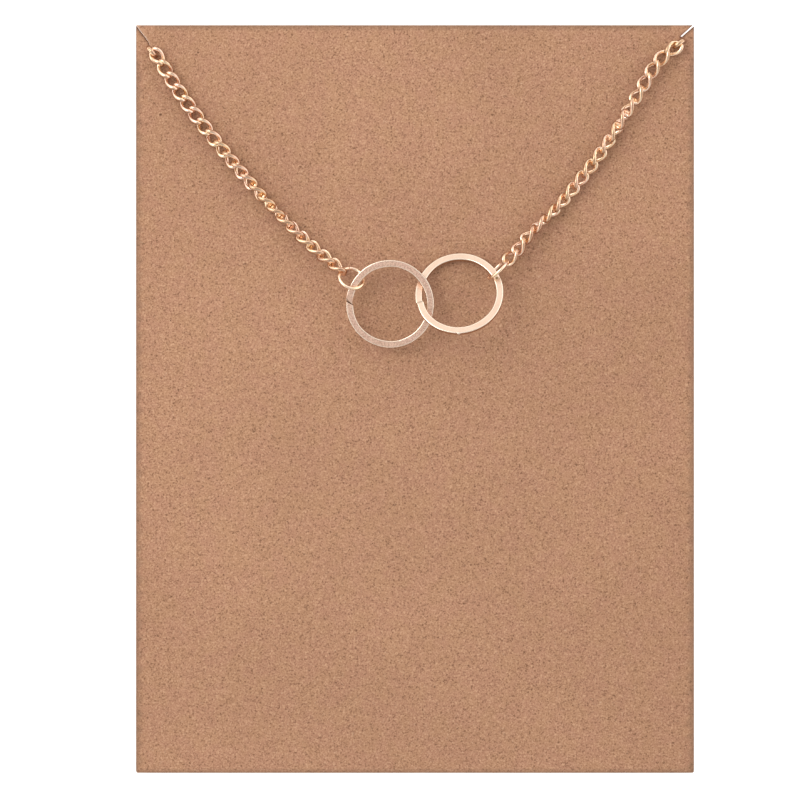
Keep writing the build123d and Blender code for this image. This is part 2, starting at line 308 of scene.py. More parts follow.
class Tree:
    """Short calls that add nodes to one node tree."""

    def __init__(self, tree: bpy.types.NodeTree) -> None:
        """Wraps a node tree.

        Args:
            tree: the tree to add to.
        """
        self.tree = tree

    def feed(self, node: bpy.types.Node, inputs: dict) -> bpy.types.Node:
        """Sets inputs of a node.

        Args:
            node: the node.
            inputs: values or sockets by input name or number; a colour has three parts.

        Returns:
            The node.
        """
        for key, value in inputs.items():
            target = node.inputs[key] if isinstance(key, int) else socket(node, key)
            if isinstance(value, bpy.types.NodeSocket):
                self.tree.links.new(value, target)
            else:
                target.default_value = (*value, 1.0) if target.type == "RGBA" else value
        return node

    def add(self, kind: str, inputs: dict | None = None, **settings: object) -> bpy.types.Node:
        """Adds a node.

        Args:
            kind: the node's type name.
            inputs: values or sockets by input name or number.
            settings: attributes set on the node before its inputs.

        Returns:
            The new node.
        """
        node = self.tree.nodes.new(kind)
        for key, value in settings.items():
            setattr(node, key, value)
        return self.feed(node, inputs or {})

    def math(self, operation: str, *values: object, clamp: bool = False) -> bpy.types.NodeSocket:
        """Result of a Math node of that operation on values or sockets."""
        node = self.add("ShaderNodeMath", dict(enumerate(values)), operation=operation,
                        use_clamp=clamp)
        return node.outputs[0]

    def plus(self, *terms: object) -> bpy.types.NodeSocket:
        """Sum of values or sockets, added in their order."""
        return reduce(lambda a, b: self.math("ADD", a, b), terms)

    def times(self, *terms: object) -> bpy.types.NodeSocket:
        """Product of values or sockets, multiplied in their order."""
        return reduce(lambda a, b: self.math("MULTIPLY", a, b), terms)

    def noise(self, vector: bpy.types.NodeSocket, size: float, detail: float = 2.0,
              rough: float = 0.5, warp: float = 0.0) -> bpy.types.NodeSocket:
        """Noise of 0 to 1 whose lumps are about size metres across, warped into worms."""
        node = self.add("ShaderNodeTexNoise", {"Vector": vector, "Scale": 1 / size,
                                               "Detail": detail, "Roughness": rough,
                                               "Distortion": warp})
        return node.outputs["Fac"]

    def place(self) -> bpy.types.NodeSocket:
        """Place on the piece, moved by FAR_OFF."""
        own = self.add("ShaderNodeTexCoord").outputs["Object"]
        return self.add("ShaderNodeVectorMath", {0: own, 1: FAR_OFF}, operation="ADD").outputs[0]

    def ramp(self, value: bpy.types.NodeSocket, low: float, high: float,
             out_low: float = 0.0, out_high: float = 1.0) -> bpy.types.NodeSocket:
        """Value carried from low..high to out_low..out_high with soft ends, clamped."""
        node = self.add("ShaderNodeMapRange",
                        {"Value": value, "From Min": low, "From Max": high,
                         "To Min": out_low, "To Max": out_high},
                        interpolation_type="SMOOTHSTEP")
        return node.outputs["Result"]

    def mix(self, factor: object, a: object, b: object) -> bpy.types.NodeSocket:
        """Colour a turned towards colour b by a factor."""
        node = self.add("ShaderNodeMix", {"Factor": factor, "A": a, "B": b}, data_type="RGBA")
        return next(s for s in node.outputs if s.enabled)

    def over(self, colour: object, mask: object, strength: float,
             paint: Colour) -> bpy.types.NodeSocket:
        """Colour with a paint over it where a mask shows, at that strength."""
        return self.mix(self.times(mask, strength), colour, paint)

    def bump(self, height: bpy.types.NodeSocket) -> bpy.types.NodeSocket:
        """Normal that follows a height in metres."""
        inputs = {"Height": height, "Strength": 1.0, "Distance": 1.0}
        return self.add("ShaderNodeBump", inputs).outputs[0]

    def attribute(self, name: str) -> bpy.types.NodeSocket:
        """Number of that name stored on the mesh."""
        return self.add("ShaderNodeAttribute", attribute_name=name).outputs["Fac"]

    def group(self, tree: bpy.types.NodeTree, inputs: dict) -> bpy.types.Node:
        """Places a node group with these inputs."""
        return self.add("ShaderNodeGroup", inputs, node_tree=tree)


def new_material(name: str) -> tuple[bpy.types.Material, Tree, bpy.types.Node]:
    """Makes a material.

    Args:
        name: its name.

    Returns:
        The material, its node tree and its shader.
    """
    material = bpy.data.materials.new(name)
    material.use_nodes = True
    shader = next(n for n in material.node_tree.nodes if n.type == "BSDF_PRINCIPLED")
    return material, Tree(material.node_tree), shader


def new_group(name: str, inputs: dict[str, float | None],
              outputs: tuple[str, ...]) -> tuple[Tree, object, bpy.types.Node]:
    """Makes an empty shader node group.

    Args:
        name: name of the group.
        inputs: default of each float input, or None for a vector input.
        outputs: names of the float outputs.

    Returns:
        The group's tree, the sockets that its inputs come from, and its output node.
    """
    tree = bpy.data.node_groups.new(name, "ShaderNodeTree")
    for key, value in inputs.items():
        kind = "NodeSocketVector" if value is None else "NodeSocketFloat"
        entry = tree.interface.new_socket(key, in_out="INPUT", socket_type=kind)
        if value is not None:
            entry.default_value = value
    for key in outputs:
        tree.interface.new_socket(key, in_out="OUTPUT", socket_type="NodeSocketFloat")
    come = tree.nodes.new("NodeGroupInput").outputs
    return Tree(tree), come, tree.nodes.new("NodeGroupOutput")


def speck_group() -> bpy.types.NodeTree:
    """Group that scatters small round specks of random strength.

    Cells of a Voronoi pattern each draw a random number. Where it is above Share, a
    spot of radius Size x the cell is marked round the cell's point.

    Returns:
        The group.
    """
    t, come, go = new_group("specks", {"Vector": None, "Cells": 1000.0, "Share": 0.9, "Size": 0.3},
                            ("Mask",))
    cells = t.add("ShaderNodeTexVoronoi",
                  {"Vector": come["Vector"], "Scale": come["Cells"]}).outputs
    draw = t.add("ShaderNodeSeparateColor", {"Color": cells["Color"]}).outputs
    chosen = t.math("GREATER_THAN", draw[0], come["Share"])
    wobble = t.add("ShaderNodeTexNoise", {"Vector": come["Vector"],
                                          "Scale": t.times(come["Cells"], 3.0)}).outputs["Fac"]
    reach = t.times(come["Size"], t.ramp(wobble, 0.3, 0.7, 0.4, 1.4))
    near = t.math("SUBTRACT", 1.0, t.math("DIVIDE", cells["Distance"], reach), clamp=True)
    strength = t.times(chosen, t.plus(draw[1], 0.35))
    t.feed(go, {"Mask": t.math("MULTIPLY", t.ramp(near, 0.0, 0.6), strength, clamp=True)})
    return t.tree


def fibre_group() -> bpy.types.NodeTree:
    """Group that draws short fibres along one direction.

    Noise is read in coordinates turned by Angle and stretched Thin times across it,
    so that its lumps become Thin times longer than wide, and only its crests are
    kept.

    Returns:
        The group.
    """
    t, come, go = new_group("fibres", {"Vector": None, "Angle": 0.0, "Length": 0.001, "Thin": 8.0,
                                       "Share": 0.62}, ("Mask",))
    turn = t.add("ShaderNodeVectorRotate", {"Vector": come["Vector"], "Angle": come["Angle"]},
                 rotation_type="Z_AXIS").outputs[0]
    bend = t.add("ShaderNodeTexNoise", {"Vector": come["Vector"], "Scale": 700.0}).outputs["Fac"]
    sway = t.times(t.math("SUBTRACT", bend, 0.5), 0.6 * MM)
    aside = t.add("ShaderNodeCombineXYZ", {"Y": sway}).outputs[0]
    swayed = t.add("ShaderNodeVectorMath", {0: turn, 1: aside}, operation="ADD").outputs[0]
    squeeze = t.add("ShaderNodeCombineXYZ", {"X": 1.0, "Y": come["Thin"], "Z": 1.0}).outputs[0]
    thin = t.add("ShaderNodeVectorMath", {0: swayed, 1: squeeze}, operation="MULTIPLY").outputs[0]
    lines = t.add("ShaderNodeTexNoise", {"Vector": thin, "Detail": 1.0,
                                         "Scale": t.math("DIVIDE", 1.0, come["Length"])})
    mask = t.add("ShaderNodeMapRange", {"Value": lines.outputs["Fac"], "From Min": come["Share"],
                                        "From Max": t.plus(come["Share"], 0.1)})
    t.feed(go, {"Mask": mask.outputs["Result"]})
    return t.tree


def wear_group() -> bpy.types.NodeTree:
    """Group that gives plated metal its uneven polish.

    Cloudy noise of Size gives Cloud, finer noise gives Ripple for the bump, and the
    crests of the two together give Rub, where the plating has dulled.

    Returns:
        The group.
    """
    t, come, go = new_group("metal_wear", {"Vector": None, "Size": 0.001},
                            ("Cloud", "Ripple", "Rub"))
    scale = t.math("DIVIDE", 1.0, come["Size"])
    cloud, ripple = (t.add("ShaderNodeTexNoise", {"Vector": come["Vector"], "Scale": rate,
                                                  "Detail": detail}).outputs["Fac"]
                     for rate, detail in ((scale, 3.0), (t.times(scale, 2.3), 1.0)))
    rub = t.ramp(t.times(cloud, ripple), 0.27, 0.42)
    t.feed(go, {"Cloud": cloud, "Ripple": ripple, "Rub": rub})
    return t.tree


@dataclass(frozen=True)
class RoseGold:
    """Rose gold plating.

    Attributes:
        finish: which finish it is; its value names the material.
        colour: reflection colour of the plating, linear.
        warm: colour of its yellower clouds, linear.
        dull: colour where the plating has dulled, linear.
        roughness: roughness of the clean plating.
        rub: how strongly the dulled patches show.
        grain: how strongly the fine grain shows.
        brush: height of the brush lines, in metres.
        ripple: height of the soft waves in the surface, in metres.
        joint_and_shadow: colour of the soldered joint's dark line and of painted shadow spots,
            linear.
        edge_highlight: colour of the highlight painted on the bands' edges, linear.
        painted_shade: colour of the painted shade on the sides of links that face their middle and
            on the walls of bands, linear.
        cloud_size: size of the yellower clouds, in metres.
        rub_size: size of the dulled patches, in metres.
        grain_size: size of the fine grain, in metres.
        line_size: distance of the brush lines from each other, in metres.
        line_stretch: how fast the lines change along the band, as a share of across it.
        grain_height: height of the fine grain where it shows in full, in metres.
        tone_share: how far tone turns the colour to dull.
        edge_highlight_share: how strongly the painted edge highlight shows.
        painted_shade_share: how strongly the painted shade shows.
        rougher: what a dulled patch, the joint's line with its painted shadow spots, and
            an edge each add to the roughness.
    """

    finish: Finish
    colour: Colour
    warm: Colour
    dull: Colour
    roughness: float
    rub: float
    grain: float
    brush: float
    ripple: float
    joint_and_shadow: Colour = (0.09, 0.045, 0.022)
    edge_highlight: Colour = (0.99, 0.85, 0.71)
    painted_shade: Colour = (0.34, 0.14, 0.055)
    cloud_size: float = 2.3 * MM
    rub_size: float = 1.1 * MM
    grain_size: float = 0.19 * MM
    line_size: float = 0.05 * MM
    line_stretch: float = 0.06
    grain_height: float = 0.012 * MM
    tone_share: float = 0.40
    edge_highlight_share: float = 0.90
    painted_shade_share: float = 0.75
    rougher: tuple[float, float, float] = (0.14, 0.25, -0.12)

    def build(self, wear: bpy.types.NodeTree) -> bpy.types.Material:
        """Makes the material.

        The piece has the attributes along and across, lengths in metres along and
        across its wire or band, and may have joint, 1 in the dark line of a soldered
        joint and in painted shadow spots, edge, 1 on an edge with a painted highlight,
        inner, 1 where shade is painted on a link or band, and
        tone, 0 to 1 for how dull a link or a stretch of the band is.

        Args:
            wear: the shared wear group.

        Returns:
            The material.
        """
        material, t, shader = new_material(self.finish.value)
        place = t.place()
        worn = t.group(wear, {"Vector": place, "Size": self.rub_size}).outputs
        joint, edge, inner, tone = (t.attribute(key) for key in ("joint", "edge", "inner", "tone"))
        along = t.times(t.attribute("along"), self.line_stretch)
        lines_at = t.add("ShaderNodeCombineXYZ",
                         {"X": along, "Y": t.attribute("across")}).outputs[0]
        lines = t.noise(lines_at, self.line_size, 3.0, 0.7)
        fine = t.noise(place, self.grain_size, 3.0, 0.7)
        clouds = t.ramp(t.noise(place, self.cloud_size, 1.0), 0.40, 0.60)
        fade = t.math("MULTIPLY", worn["Rub"], self.rub, clamp=True)
        brushed = t.ramp(lines, 0.35, 0.65, 0.0, 0.25 if self.brush > 0 else 0.0)
        grained = t.ramp(fine, 0.44, 0.57, 0.0, self.grain)
        colour = t.mix(clouds, self.colour, self.warm)
        toned = t.ramp(tone, 0.0, 1.0, 0.0, self.tone_share)
        for mask in (fade, toned, brushed, grained):
            colour = t.mix(mask, colour, self.dull)
        # Painted highlight on the edges.
        for mask, strength, paint in ((edge, self.edge_highlight_share, self.edge_highlight),
                                      # painted shade on the inner sides of links and on the walls
                                      # of bands
                                      (inner, self.painted_shade_share, self.painted_shade),
                                      # the joint's dark line, together with painted shadow spots
                                      (joint, 1.0, self.joint_and_shadow)):
            colour = t.over(colour, mask, strength, paint)
        rough = t.plus(self.roughness, *(t.times(mask, step) for mask, step in
                                         zip((fade, joint, edge), self.rougher)))
        rough = t.math("ADD", rough, t.ramp(lines, 0.3, 0.7, -0.03, 0.05), clamp=True)
        height = t.plus(t.times(lines, self.brush), t.times(worn["Ripple"], self.ripple),
                        t.times(fine, self.grain_height * self.grain))
        t.feed(shader, {"Base Color": colour, "Metallic": 1.0, "Roughness": rough,
                        "Normal": t.bump(height)})
        return material


@dataclass(frozen=True)
class KraftBoard:
    """Uncoated kraft card.

    Attributes:
        name: name of the material.
        ochre: colour of the yellower patches, linear.
        pink: colour of the pinker patches, linear.
        dark: colour of the dark mottling, linear.
        light: colour of the light mottling, linear.
        speck: colour of the bark specks and hairs, and of the painted shade along the slits,
            linear.
        fibre: colour of the pale fibres, and of a slit's pale lip with its painted highlight,
            linear.
        rim: colour of the darker band along the card's cut outline, linear.
        tooth: height of the paper's tooth, in metres.
        relief: how much the mottling, the pale fibres and the fine mottling add to it.
        rim_darkening: how strongly that band darkens the card.
        broad_size: size of the faint broad shade, in metres.
        patch_size: size of the ochre and pink patches, in metres.
        mottle_size: size of the coarse mottling, in metres.
        fine_size: size of the fine mottling, in metres.
        fine_share: how much of the mottling is the fine one.
        pale_fibres: angle, length in metres, share and strength of each layer.
        dark_hairs: the same for the dark hairs.
        bark_specks: cells in a metre, share, size in cells and strength of each layer.
        pale_flecks: the same for the pale flecks.
    """

    name: str = "kraft_board"
    ochre: Colour = (0.393, 0.2115, 0.1215)
    pink: Colour = (0.393, 0.2035, 0.1260)
    dark: Colour = (0.177, 0.085, 0.045)
    light: Colour = (0.530, 0.312, 0.194)
    speck: Colour = (0.100, 0.042, 0.022)
    fibre: Colour = (0.59, 0.385, 0.26)
    rim: Colour = (0.165, 0.098, 0.062)
    tooth: float = 0.012 * MM
    relief: tuple[float, float, float] = (0.8, 0.3, 0.4)
    rim_darkening: float = 0.6
    broad_size: float = 22 * MM
    patch_size: float = 3.2 * MM
    mottle_size: float = 0.46 * MM
    fine_size: float = 0.21 * MM
    fine_share: float = 0.62
    pale_fibres: tuple = ((0.4, 0.9 * MM, 0.66, 0.30), (1.9, 0.8 * MM, 0.66, 0.30))
    dark_hairs: tuple = ((0.9, 1.5 * MM, 0.715, 0.55), (2.4, 1.2 * MM, 0.70, 0.50),
                         (0.1, 1.0 * MM, 0.70, 0.45))
    bark_specks: tuple = ((1500.0, 0.978, 0.17, 0.85), (2400.0, 0.975, 0.20, 0.50),
                          (420.0, 0.975, 0.10, 0.9))
    pale_flecks: tuple = ((900.0, 0.94, 0.14, 0.6),)

    def build(self, specks: bpy.types.NodeTree, fibres: bpy.types.NodeTree) -> bpy.types.Material:
        """Makes the material.

        The piece has the attributes rim, 1 at the card's cut outline, lip, 1 where
        the cut of a slit shows its pale core with a painted highlight, and slit_shade, 1 in
        the painted shade along the cut.

        Args:
            specks: the speck group.
            fibres: the fibre group.

        Returns:
            The material.
        """
        material, t, shader = new_material(self.name)
        place = t.place()
        broad = t.noise(place, self.broad_size, 2.0)
        patches = t.noise(place, self.patch_size, 2.0, 0.6)
        mottle = t.noise(place, self.mottle_size, 2.0, 0.6, 1.0)
        fine = t.noise(place, self.fine_size, 1.0, 0.5, 0.7)
        tone = t.plus(t.times(mottle, 1 - self.fine_share), t.times(fine, self.fine_share))
        colour = t.mix(t.ramp(patches, 0.35, 0.65), self.ochre, self.pink)
        colour = t.mix(t.ramp(tone, 0.50, 0.30), colour, self.dark)
        colour = t.mix(t.ramp(tone, 0.50, 0.70), colour, self.light)
        height = t.times(tone, self.relief[0])
        threads, dots = ("Angle", "Length", "Share"), ("Cells", "Share", "Size")
        for group, names, fixed, paint, layers in (
                (fibres, threads, {"Thin": 7.0}, self.fibre, self.pale_fibres),
                (fibres, threads, {"Thin": 9.0}, self.speck, self.dark_hairs),
                (specks, dots, {}, self.speck, self.bark_specks),
                (specks, dots, {}, self.fibre, self.pale_flecks)):
            for *numbers, strength in layers:
                inputs = {"Vector": place, **fixed, **dict(zip(names, numbers))}
                mask = t.group(group, inputs).outputs[0]
                colour = t.over(colour, mask, strength, paint)
                if layers is self.pale_fibres:
                    height = t.plus(height, t.times(mask, self.relief[1]))
        colour = t.mix(t.ramp(broad, 0.35, 0.65, 0.0, 0.10), colour, self.dark)
        # Darker band along the cut outline, pale core with a painted highlight on a slit's upper
        # lip, and painted shade along the cut.
        for key, strength, paint in (("rim", self.rim_darkening, self.rim), ("lip", 1.0, self.fibre),
                                     ("slit_shade", 1.0, self.speck)):
            colour = t.over(colour, t.attribute(key), strength, paint)
        height = t.times(t.plus(height, t.times(fine, self.relief[2])), self.tooth)
        t.feed(shader, {"Base Color": colour, "Roughness": t.ramp(mottle, 0.3, 0.7, 0.82, 0.95),
                        "Normal": t.bump(height), "Specular IOR Level": 0.25, "Sheen Weight": 0.08})
        return material


@dataclass
class Palette:
    """All materials of the necklace and its card, built once."""

    metals: dict[Finish, bpy.types.Material] = field(default_factory=dict)
    board: bpy.types.Material | None = None

    def build(self) -> None:
        """Makes the shared groups and every material."""
        wear = wear_group()
        finishes = (
            RoseGold(Finish.BRUSHED, colour=(0.98, 0.67, 0.54), warm=(0.96, 0.67, 0.52),
                     dull=(0.62, 0.392, 0.292), roughness=0.34, rub=0.20, grain=0.80,
                     brush=0.004 * MM, ripple=0.008 * MM),
            RoseGold(Finish.SATIN, colour=(0.762, 0.583, 0.457), warm=(0.735, 0.554, 0.43),
                     dull=(0.66, 0.47, 0.35), roughness=0.30, rub=0.30, grain=0.30,
                     brush=0.002 * MM, ripple=0.006 * MM, joint_and_shadow=(0.20, 0.11, 0.02)),
            RoseGold(Finish.BRIGHT, colour=(0.98, 0.75, 0.60), warm=(0.98, 0.79, 0.54),
                     dull=(0.87, 0.59, 0.44), roughness=0.23, rub=0.40, grain=0.35,
                     brush=0.0, ripple=0.010 * MM))
        self.metals = {gold.finish: gold.build(wear) for gold in finishes}
        self.board = KraftBoard().build(speck_group(), fibre_group())


# Pieces


def dress(piece: bpy.types.Object, material: bpy.types.Material, slot: str, *nodes: str) -> None:
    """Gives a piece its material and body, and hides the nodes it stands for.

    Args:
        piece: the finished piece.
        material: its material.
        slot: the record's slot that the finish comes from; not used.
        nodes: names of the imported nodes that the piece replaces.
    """
    piece.data.materials.append(material)
    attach(piece, "root")
    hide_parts(*nodes)
    LOG.info("%s: %d points, %d faces", piece.name, len(piece.data.vertices),
             len(piece.data.polygons))


@dataclass
class CurbStrand:
    """One strand of twisted curb chain.

    Attributes:
        name: name of the piece.
        node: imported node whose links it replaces.
        length: outside length of a link.
        width: outside width of a link before the twist.
        wire: diameter of the wire, and of the wire behind the card.
        twist: turn of each end against the middle, in degrees, and behind the card.
        squareness: power of the oval, 2 for an ellipse.
        sway: largest random roll of a link about its length, in degrees.
        standing_turn: turn of the upper and lower part of the link in the card, in degrees.
        swing: where it swings from one to the other, in metres below its middle.
        front_grid: points along and round the wire of the links on the card.
        back_grid: the same for the links behind the card.
    """

    name: str
    node: str
    length: float = 2.84 * MM
    width: float = 1.98 * MM
    wire: tuple[float, float] = (0.53 * MM, 0.42 * MM)
    twist: tuple[float, float] = (-66.0, -54.0)
    squareness: float = 2.6
    sway: float = 1.5
    standing_turn: tuple[float, float] = (-53.0, 62.0)
    swing: tuple[float, float] = (0.22 * MM, 0.84 * MM)
    front_grid: tuple[int, int] = (48, 12)
    back_grid: tuple[int, int] = (14, 5)

    def turn(self, x: Array, lie: Lie) -> Array:
        """Turn of a link's plane at places along its length.

        A link that lies turns evenly, by twist * x / a with a the half length of its
        centreline. One that stands in the card keeps its upper turn down to the
        card's underside, then swings with a smooth step to its lower one.

        Args:
            x: places along the link from its middle.
            lie: where the link is.

        Returns:
            Angles in radians, of the shape of x.
        """
        if lie is Lie.STANDING:
            upper, lower = np.radians(self.standing_turn)
            share = np.clip((-x - self.swing[0]) / (self.swing[1] - self.swing[0]), 0, 1)
            share = share * share * (3 - 2 * share)
            return upper * (1 - share) + lower * share
        back = lie is Lie.BACK
        return math.radians(self.twist[back]) * x * 2 / (self.length - self.wire[back])

    def wire_surface(self, lie: Lie) -> tuple[Array, dict[str, Array]]:
        """Surface of one link about the origin, its long axis along X.

        With a and b the half axes of the wire's centreline and p the squareness, the
        centreline at t is x = a |cos t|^(2/p) sgn cos t, y = b |sin t|^(2/p) sgn sin t,
        then turned about X by turn(x). The surface is the centreline plus the wire's
        radius times N cos s + B sin s, with B the turned plane's normal made square
        to the tangent T, and N = B x T.

        Args:
            lie: where the link is.

        Returns:
            (along, around, 3) points, and by name the lengths along the wire and
            round it, and 1 on the side that faces the link's middle, where shade is painted.
        """
        along, around = self.back_grid if lie is Lie.BACK else self.front_grid
        wire = self.wire[lie is Lie.BACK]
        a, b = (self.length - wire) / 2, (self.width - wire) / 2
        t = full_turn(720) + 1e-4  # none of the points lies on an axis of the oval
        power = 2 / self.squareness
        x = a * np.abs(np.cos(t)) ** power * np.sign(np.cos(t))
        y = b * np.abs(np.sin(t)) ** power * np.sign(np.sin(t))
        turn = self.turn(x, lie)
        line = np.stack([x, y * np.cos(turn), y * np.sin(turn)], 1)
        closed = np.concatenate([line, line[:1]])
        run = np.concatenate([[0], np.cumsum(np.linalg.norm(np.diff(closed, axis=0), axis=1))])
        even = np.linspace(0, run[-1], along, endpoint=False)
        line = np.stack([np.interp(even, run, closed[:, k]) for k in range(3)], 1)
        turn = self.turn(line[:, 0], lie)
        tangent = unit(np.roll(line, -1, 0) - np.roll(line, 1, 0))
        normal = np.stack([np.zeros_like(turn), -np.sin(turn), np.cos(turn)], 1)
        normal = unit(normal - tangent * np.sum(tangent * normal, 1, keepdims=True))
        out = np.cross(normal, tangent)
        s = full_turn(around)
        ring = (out[:, None] * np.cos(s)[None, :, None]
                + normal[:, None] * np.sin(s)[None, :, None])
        # inner marks the side of the wire that faces the link's middle, where shade is painted
        values = spread((along, around), along=even[:, None], across=s * wire / 2,
                        inner=np.clip(-np.cos(s), 0, 1) ** 3)
        return line[:, None] + ring * wire / 2, values

    def links(self, poses: Poses, lie: Lie, rng: np.random.Generator) -> Surface:
        """Surface of the links at these poses, each rolled a little at random.

        Args:
            poses: places of the links.
            lie: where these links are.
            rng: source of each link's roll and tone.

        Returns:
            The links as one surface.
        """
        local, values = self.wire_surface(lie)
        count = len(poses.centres)
        flat = local.reshape(-1, 3)
        roll = np.radians(self.sway) * rng.uniform(-1, 1, count) * (lie is Lie.FRONT)
        c, s = np.cos(roll)[:, None], np.sin(roll)[:, None]
        a, b, n = (poses.axes[:, k] for k in range(3))
        axes = np.stack([a, c * b + s * n, c * n - s * b], 1)
        points = poses.centres[:, None] + np.einsum("pi,lij->lpj", flat, axes)
        quads = grid_faces(*local.shape[:2], True, True)[:, ::-1]
        shift = np.arange(count)[:, None, None] * len(flat)
        values = {key: np.tile(value, count) for key, value in values.items()}
        values["tone"] = np.repeat(rng.random(count), len(flat))
        return Surface(points.reshape(-1, 3), (quads[None] + shift).reshape(-1, 4).tolist(), values)

    def sort(self, frame: dict) -> tuple[Poses, Poses, Poses]:
        """Poses of the links on the card, behind it, and of the one that stands in it.

        Args:
            frame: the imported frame.

        Returns:
            The three sets; the standing link's long axis points up.
        """
        poses = Poses.read(frame["nodes"][self.node])
        low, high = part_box("card")
        stands = np.zeros(len(poses.centres), bool)
        stands[np.argmin(np.abs(poses.centres[:, 2] - (low.z + high.z) / 2))] = True
        above = (poses.centres[:, 2] > low.z) & ~stands
        near, far, inside = (Poses(poses.centres[m], poses.axes[m])
                             for m in (above, ~above & ~stands, stands))
        inside.axes[:, :2] *= np.sign(inside.axes[:, :1, 2:])
        return near, far, inside

    def eye(self, frame: dict) -> tuple[Array, float]:
        """Where the standing link passes the card, and which way its two legs lie.

        Args:
            frame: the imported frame.

        Returns:
            (2,) centre in metres and the direction's angle in radians.
        """
        inside = self.sort(frame)[2]
        turn = math.radians(self.standing_turn[0])
        legs = inside.axes[0, 1] * math.cos(turn) + inside.axes[0, 2] * math.sin(turn)
        return inside.centres[0, :2], math.atan2(legs[1], legs[0])

    def build(self, frame: dict, palette: Palette, rng: np.random.Generator) -> None:
        """Builds and dresses the strand.

        Args:
            frame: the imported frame.
            palette: the materials.
            rng: source of each link's roll and tone.
        """
        near, far, inside = self.sort(frame)
        parts = ((near, Lie.FRONT), (far, Lie.BACK), (inside, Lie.STANDING))
        surface = reduce(Surface.joined, [self.links(poses, lie, rng) for poses, lie in parts])
        piece = add_mesh(self.name, surface, 80.0)
        dress(piece, palette.metals[Finish.BRIGHT], "chain_metal", self.node)


@dataclass
class RingPose:
    """Place of one ring: its centre and three unit axes, the last its normal."""

    centre: Array
    across: Array
    upward: Array
    normal: Array

    @classmethod
    def read(cls, node: bpy.types.Object) -> "RingPose":
        """Pose of a packed ring.

        The normal is the direction in which the ring spreads least, turned to point
        up, across is +X made square to it, and upward completes the three.

        Args:
            node: the node's object.

        Returns:
            The pose.
        """
        poses = Poses.read(node)
        normal = poses.axes[0, 2] * np.sign(poses.axes[0, 2, 2] + 1e-9)
        across = unit(np.array([1.0, 0, 0]) - normal * normal[0])
        return cls(poses.centres[0], across, np.cross(normal, across), normal)

    def place(self, radius: Array, angle: Array, height: Array) -> Array:
        """Points at these radii and angles about the ring's axis, at these heights."""
        return (self.centre
                + (radius * np.cos(angle))[..., None] * self.across
                + (radius * np.sin(angle))[..., None] * self.upward
                + height[..., None] * self.normal)


